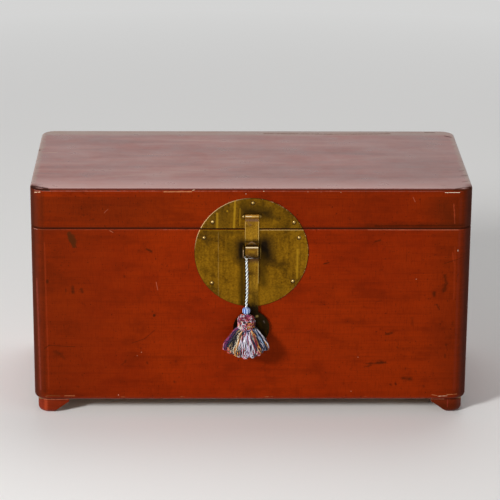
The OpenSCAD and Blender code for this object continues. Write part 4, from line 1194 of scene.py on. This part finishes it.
headSettings = {
    # half width and height below the top, down the outside
    "outline": [(0.0, 0.0), (0.0060, -0.0003), (0.0095, -0.0014), (0.0122, -0.0042), (0.0133, -0.0085),
                (0.0134, -0.0140), (0.0131, -0.0190), (0.0120, -0.0230), (0.0108, -0.0252)],
    "height": 0.0255, "loops": 330, "yarn": 0.00088, "seed": 5,
    # each little loop: how far it may turn, its length, its lift, how deep its ends sit and its bend
    "turn": 1.2, "length": (0.0036, 0.0062), "lift": (0.0014, 0.0034), "sunk": 0.0012, "bend": 0.0009,
    # half width and height below the hitch of the soft body inside
    "core": [(0.0050, -0.1004), (0.0090, -0.1018), (0.0118, -0.1048), (0.0130, -0.1090),
             (0.0131, -0.1150), (0.0127, -0.1210), (0.0112, -0.1242), (0.0095, -0.1254)],
    # the yarns of each part of the head, which are drawn from at random
    "topColours": ["burgundy", "magenta", "white", "burgundy", "pink", "plum", "coral"],
    "leftColours": ["pink", "cream", "white", "burgundy", "white", "plum", "coral"],
    "middleColours": ["pink", "white", "burgundy", "white", "coral", "magenta", "black", "pink"],
    "warmColours": ["orange", "orange", "cream", "burgundy", "coral", "pink"],
    "rightColours": ["burgundy", "white", "pink", "orange", "magenta", "black"],
    "lowColours": ["lavender", "white", "pink", "burgundy", "lavender"],
}
# the angle between two places that follow each other, which spreads them evenly
goldenAngle = 2.39996


def corePiece(name, rings, sides=32):
    # a closed soft body from rings of half width, half depth and height
    bm = bmesh.new()
    first = rings[0]
    made = bmesh.ops.create_circle(bm, cap_ends=True, segments=sides, radius=1.0)
    for v in made["verts"]:
        v.co = Vector((v.co.x * first[0], v.co.y * first[1], first[2]))
    loop = [e for e in bm.edges if e.is_boundary]
    for before, (wide, deep, high) in zip(rings, rings[1:]):
        made = bmesh.ops.extrude_edge_only(bm, edges=loop)
        loop = [g for g in made["geom"] if isinstance(g, bmesh.types.BMEdge)]
        for v in [g for g in made["geom"] if isinstance(g, bmesh.types.BMVert)]:
            v.co = Vector((v.co.x / before[0] * wide, v.co.y / before[1] * deep, high))
    bmesh.ops.holes_fill(bm, edges=[e for e in bm.edges if e.is_boundary], sides=0)
    for v in bm.verts:
        v.co = onTassel(*v.co)
    bmesh.ops.recalc_face_normals(bm, faces=bm.faces)
    return meshPiece(name, bm, woolCore)


def headColours(settings, around, down):
    # the yarn colours near one place on the head, as the front shows them
    x = math.cos(around)
    if down < 0.22:
        return settings["topColours"]
    if down > 0.84:
        return settings["lowColours"]
    if x < -0.4:
        return settings["leftColours"]
    if x > 0.72:
        return settings["rightColours"]
    if x > 0.18 and math.sin(around) < 0 and down > 0.4:
        return settings["warmColours"]
    return settings["middleColours"]


def headPlaces(settings):
    # places spread evenly over the head's surface: angle, half width, height and slope
    rows = []
    for (r1, z1), (r2, z2) in zip(settings["outline"], settings["outline"][1:]):
        for i in range(10):
            r, z = r1 + (r2 - r1) * (i + 0.5) / 10, z1 + (z2 - z1) * (i + 0.5) / 10
            rows.append((r, z, Vector((z1 - z2, r2 - r1)).normalized(), r * math.hypot(r2 - r1, z2 - z1)))
    whole = sum(row[3] for row in rows)
    gone = 0.0
    k = 0
    for r, z, slope, area in rows:
        gone += area
        while k < settings["loops"] and (k + 0.5) / settings["loops"] * whole <= gone:
            yield k * goldenAngle, r, z, slope
            k += 1


def headLoop(settings, dice, around, r, z, slope):
    # one little loop of yarn that stands off the head at this place
    out = Vector((slope.x * math.cos(around), slope.x * math.sin(around), slope.y)).normalized()
    base = Vector((r * math.cos(around), r * math.sin(around), z + headTop))
    side = Vector((-math.sin(around), math.cos(around), 0))
    other = out.cross(side).normalized()
    turn = dice.uniform(-settings["turn"], settings["turn"])
    along = side * math.cos(turn) + other * math.sin(turn)
    length = dice.uniform(*settings["length"])
    lift = dice.uniform(*settings["lift"])
    points = []
    for i in range(7):
        a = math.pi * i / 6
        p = base + along * (-length / 2 * math.cos(a)) + out * (lift * math.sin(a) - settings["sunk"])
        p += other * (settings["bend"] * math.sin(2 * a))
        points.append(onTassel(*p))
    return points


def buildHead(settings):
    dice = random.Random(settings["seed"])
    strands = []
    for around, r, z, slope in headPlaces(settings):
        points = headLoop(settings, dice, around, r, z, slope)
        choice = dice.choice(headColours(settings, around, -z / settings["height"]))
        strands.append((points, yarnOrder.index(choice), False))
    return threadPiece("tasselHead", strands, settings["yarn"], yarnPalette)


headCore = corePiece("tasselHeadCore", [(r, r, z) for r, z in headSettings["core"]])
tasselHead = buildHead(headSettings)

print("yarn skirt")

skirtSettings = {
    "yarn": 0.00105, "seed": 11,
    # width, depth and height below the head's foot, down the sides and down the front
    "side": [(0.0120, 0.004), (0.0175, 0.003), (0.0235, -0.0045), (0.0295, -0.0125), (0.0345, -0.0195),
             (0.0378, -0.0265), (0.0384, -0.0325)],
    "front": [(0.0105, -0.0010), (0.0135, -0.0055), (0.0155, -0.0140), (0.0170, -0.0240),
              (0.0174, -0.0335), (0.0166, -0.0415), (0.0150, -0.0462)],
    # half width, half depth and height below the head's foot of the soft body inside
    "core": [(0.0100, 0.0085, -0.0005), (0.0150, 0.0110, -0.0040), (0.0215, 0.0125, -0.0110),
             (0.0275, 0.0135, -0.0195), (0.0300, 0.0140, -0.0265), (0.0270, 0.0135, -0.0325),
             (0.0180, 0.0110, -0.0385), (0.0080, 0.0060, -0.0410)],
    # the loops of the outer layer, from the left edge at 180 degrees over the front to the right edge
    "outer": [
        (183, "navy"), (188, "plum"), (193, "magenta"), (198, "navy"), (203, "plum"), (208, "black"),
        (213, "navy"), (218, "black"), (222, "tan"), (226, "black"), (230, "speckled"), (234, "black"),
        (238, "cream"), (242, "orange"), (246, "black"), (250, "white"), (253.5, "burgundy"),
        (257, "navy"), (260.5, "white"), (264, "burgundy"), (267.5, "white"), (271, "black"),
        (274.5, "lavender"), (278, "burgundy"), (281.5, "white"), (285, "navy"), (288.5, "white"),
        (292, "burgundy"), (296, "navy"), (300, "cream"), (304, "burgundy"), (308, "orange"),
        (312, "black"), (316, "navy"), (320.5, "white"), (325, "navy"), (329.5, "sky"), (334, "navy"),
        (339, "black"), (344, "white"), (350, "black"), (355, "black"),
    ],
    # short yarns at the lower edge: angle, colour and how far down the skirt they start
    "ends": [
        (187, "pink", 0.80), (219, "coral", 0.80), (223, "coral", 0.84),
        (243, "orange", 0.62), (249, "tan", 0.70), (266, "pink", 0.82),
        (270, "white", 0.55), (286, "white", 0.70), (293, "navy", 0.60),
        (303, "pink", 0.80), (341, "orange", 0.55), (352, "coral", 0.50),
    ],
    # the outer layer: half the angle between a loop's sides, its lift and how far down it reaches
    "outerGap": (0.030, 0.052), "outerLift": (-0.0004, 0.0009), "outerReach": (0.90, 1.0),
    "endGap": 0.060, "endLift": 0.0004,
    # the loops between and behind: how many in each layer, how much deeper and shorter each layer is
    "innerLoops": 48, "layers": 3, "layerDepth": 0.0018, "layerShorter": 0.03,
    "innerGap": (0.045, 0.09), "innerLift": (-0.0006, 0.0004), "innerReach": (0.93, 1.0),
    "others": ["navy", "black", "navy", "plum", "black", "burgundy", "navy", "black", "speckled"],
    "backOthers": ["navy", "magenta", "burgundy", "pink", "lavender", "white", "cream", "tan", "orange",
                   "coral", "sky", "speckled", "plum", "black"],
    # how much a yarn waves sideways and from front to back, how flat the skirt's back is, and the
    # radius to which a lift is compared
    "waves": (0.0011, 0.0007), "flatBack": 0.90, "meanRadius": 0.02,
}


def profileAt(profile, t):
    at = max(0.0, t) * (len(profile) - 1)
    i = min(int(at), len(profile) - 2)
    part = at - i
    a, b = profile[i], profile[i + 1]
    return a[0] + (b[0] - a[0]) * part, a[1] + (b[1] - a[1]) * part


def skirtPoint(settings, angle, t, lift):
    wide, highSide = profileAt(settings["side"], t)
    deep, highFront = profileAt(settings["front"], t)
    c, s = math.cos(angle), math.sin(angle)
    high = headFoot + highFront + (highSide - highFront) * abs(c) ** 1.6
    push = 1.0 + lift / settings["meanRadius"]
    back = settings["flatBack"] if s > 0 else 1.0
    return Vector((c * wide * push, s * deep * push * back, high))


def skirtLoop(settings, dice, angle, gap, lift, start, reach, count):
    # down one side, round the bottom and up the other side; the sides part on their way down
    points = []
    for side in (-1, 1):
        half = []
        for i in range(7):
            t = start + (reach * 0.97 - start) * i / 6
            aside = angle + side * gap * (0.45 + 0.55 * t)
            half.append(skirtPoint(settings, aside, t, lift - 0.0002 * side))
        half.append(skirtPoint(settings, angle + side * gap * 0.55, reach, lift) + Vector((0, 0, -0.0012)))
        points += half if side < 0 else half[::-1]
    wave = dice.uniform(0, 6.28)
    sideways, deep = settings["waves"]
    for i, p in enumerate(points):
        p += Vector((sideways * math.sin(wave + i * 1.9), deep * math.cos(wave + 1.4 * i), 0))
    return smoothPath([onTassel(*p) for p in points], count)


def buildSkirt(settings):
    dice = random.Random(settings["seed"])
    strands = []
    for degrees, name in settings["outer"]:
        gap, lift = dice.uniform(*settings["outerGap"]), dice.uniform(*settings["outerLift"])
        reach = dice.uniform(*settings["outerReach"])
        line = skirtLoop(settings, dice, math.radians(degrees), gap, lift, 0.0, reach, 44)
        strands.append((line, yarnOrder.index(name), False))
    for degrees, name, start in settings["ends"]:
        line = skirtLoop(settings, dice, math.radians(degrees), settings["endGap"], settings["endLift"],
                         start, 1.0, 20)
        strands.append((line, yarnOrder.index(name), False))
    loops = settings["innerLoops"]
    for layer in range(settings["layers"]):
        for k in range(loops):
            angle = 2 * math.pi * (k + 0.5 * layer) / loops + dice.uniform(-0.05, 0.05)
            if layer == 0 and math.sin(angle) < 0:
                continue
            gap = dice.uniform(*settings["innerGap"])
            lift = -settings["layerDepth"] * layer + dice.uniform(*settings["innerLift"])
            reach = dice.uniform(*settings["innerReach"]) - settings["layerShorter"] * layer
            line = skirtLoop(settings, dice, angle, gap, lift, 0.0, reach, 34)
            # dark yarns lie between and behind the front's loops as painted shade in the gaps, bright ones
            # show at the back
            names = settings["backOthers"] if layer == 0 else settings["others"]
            strands.append((line, yarnOrder.index(dice.choice(names)), False))
    return threadPiece("tasselSkirt", strands, settings["yarn"], yarnPalette)


skirtCore = corePiece("tasselSkirtCore", [
    (wide, deep, headFoot + z) for wide, deep, z in skirtSettings["core"]])
tasselSkirt = buildSkirt(skirtSettings)

tieSettings = {
    "turns": 3, "wide": 0.0126, "deep": 0.0122, "yarn": 0.0011, "turned": 1.2,
    "start": 0.0012, "drop": 0.0030, "slant": 0.0010,
}


def buildTie(settings):
    # turns of dark yarn under the head, lower at the right
    points = []
    for i in range(90):
        a = 2 * math.pi * settings["turns"] * i / 89 - settings["turned"]
        z = headFoot + settings["start"] - settings["drop"] * i / 89 - settings["slant"] * math.cos(a)
        points.append(onTassel(settings["wide"] * math.cos(a), settings["deep"] * math.sin(a), z))
    return threadPiece("tasselTie", [(points, 0, False)], settings["yarn"], [yarnMaterials["navy"]])


tasselTie = buildTie(tieSettings)

softPieces = [
    (cordHitch, "cord_hitch", "cord", "hasp"),
    (tasselCord, "tassel_cord", "cord", "tassel"),
    (tasselBead, "tassel_bead", "bead", "tassel"),
    (headCore, "tassel_head", "yarn_head", "tassel"),
    (tasselHead, "tassel_head", "yarn_head", "tassel"),
    (skirtCore, "tassel_skirt", "yarn_skirt", "tassel"),
    (tasselSkirt, "tassel_skirt", "yarn_skirt", "tassel"),
    (tasselTie, "tassel_skirt", "yarn_skirt", "tassel"),
]
for piece, solid, slotName, body in softPieces:
    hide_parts(solid)
    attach(piece, body)
tuple(cordLine[0])
[tuple(p) for p in cordLine]

print("all pieces made")
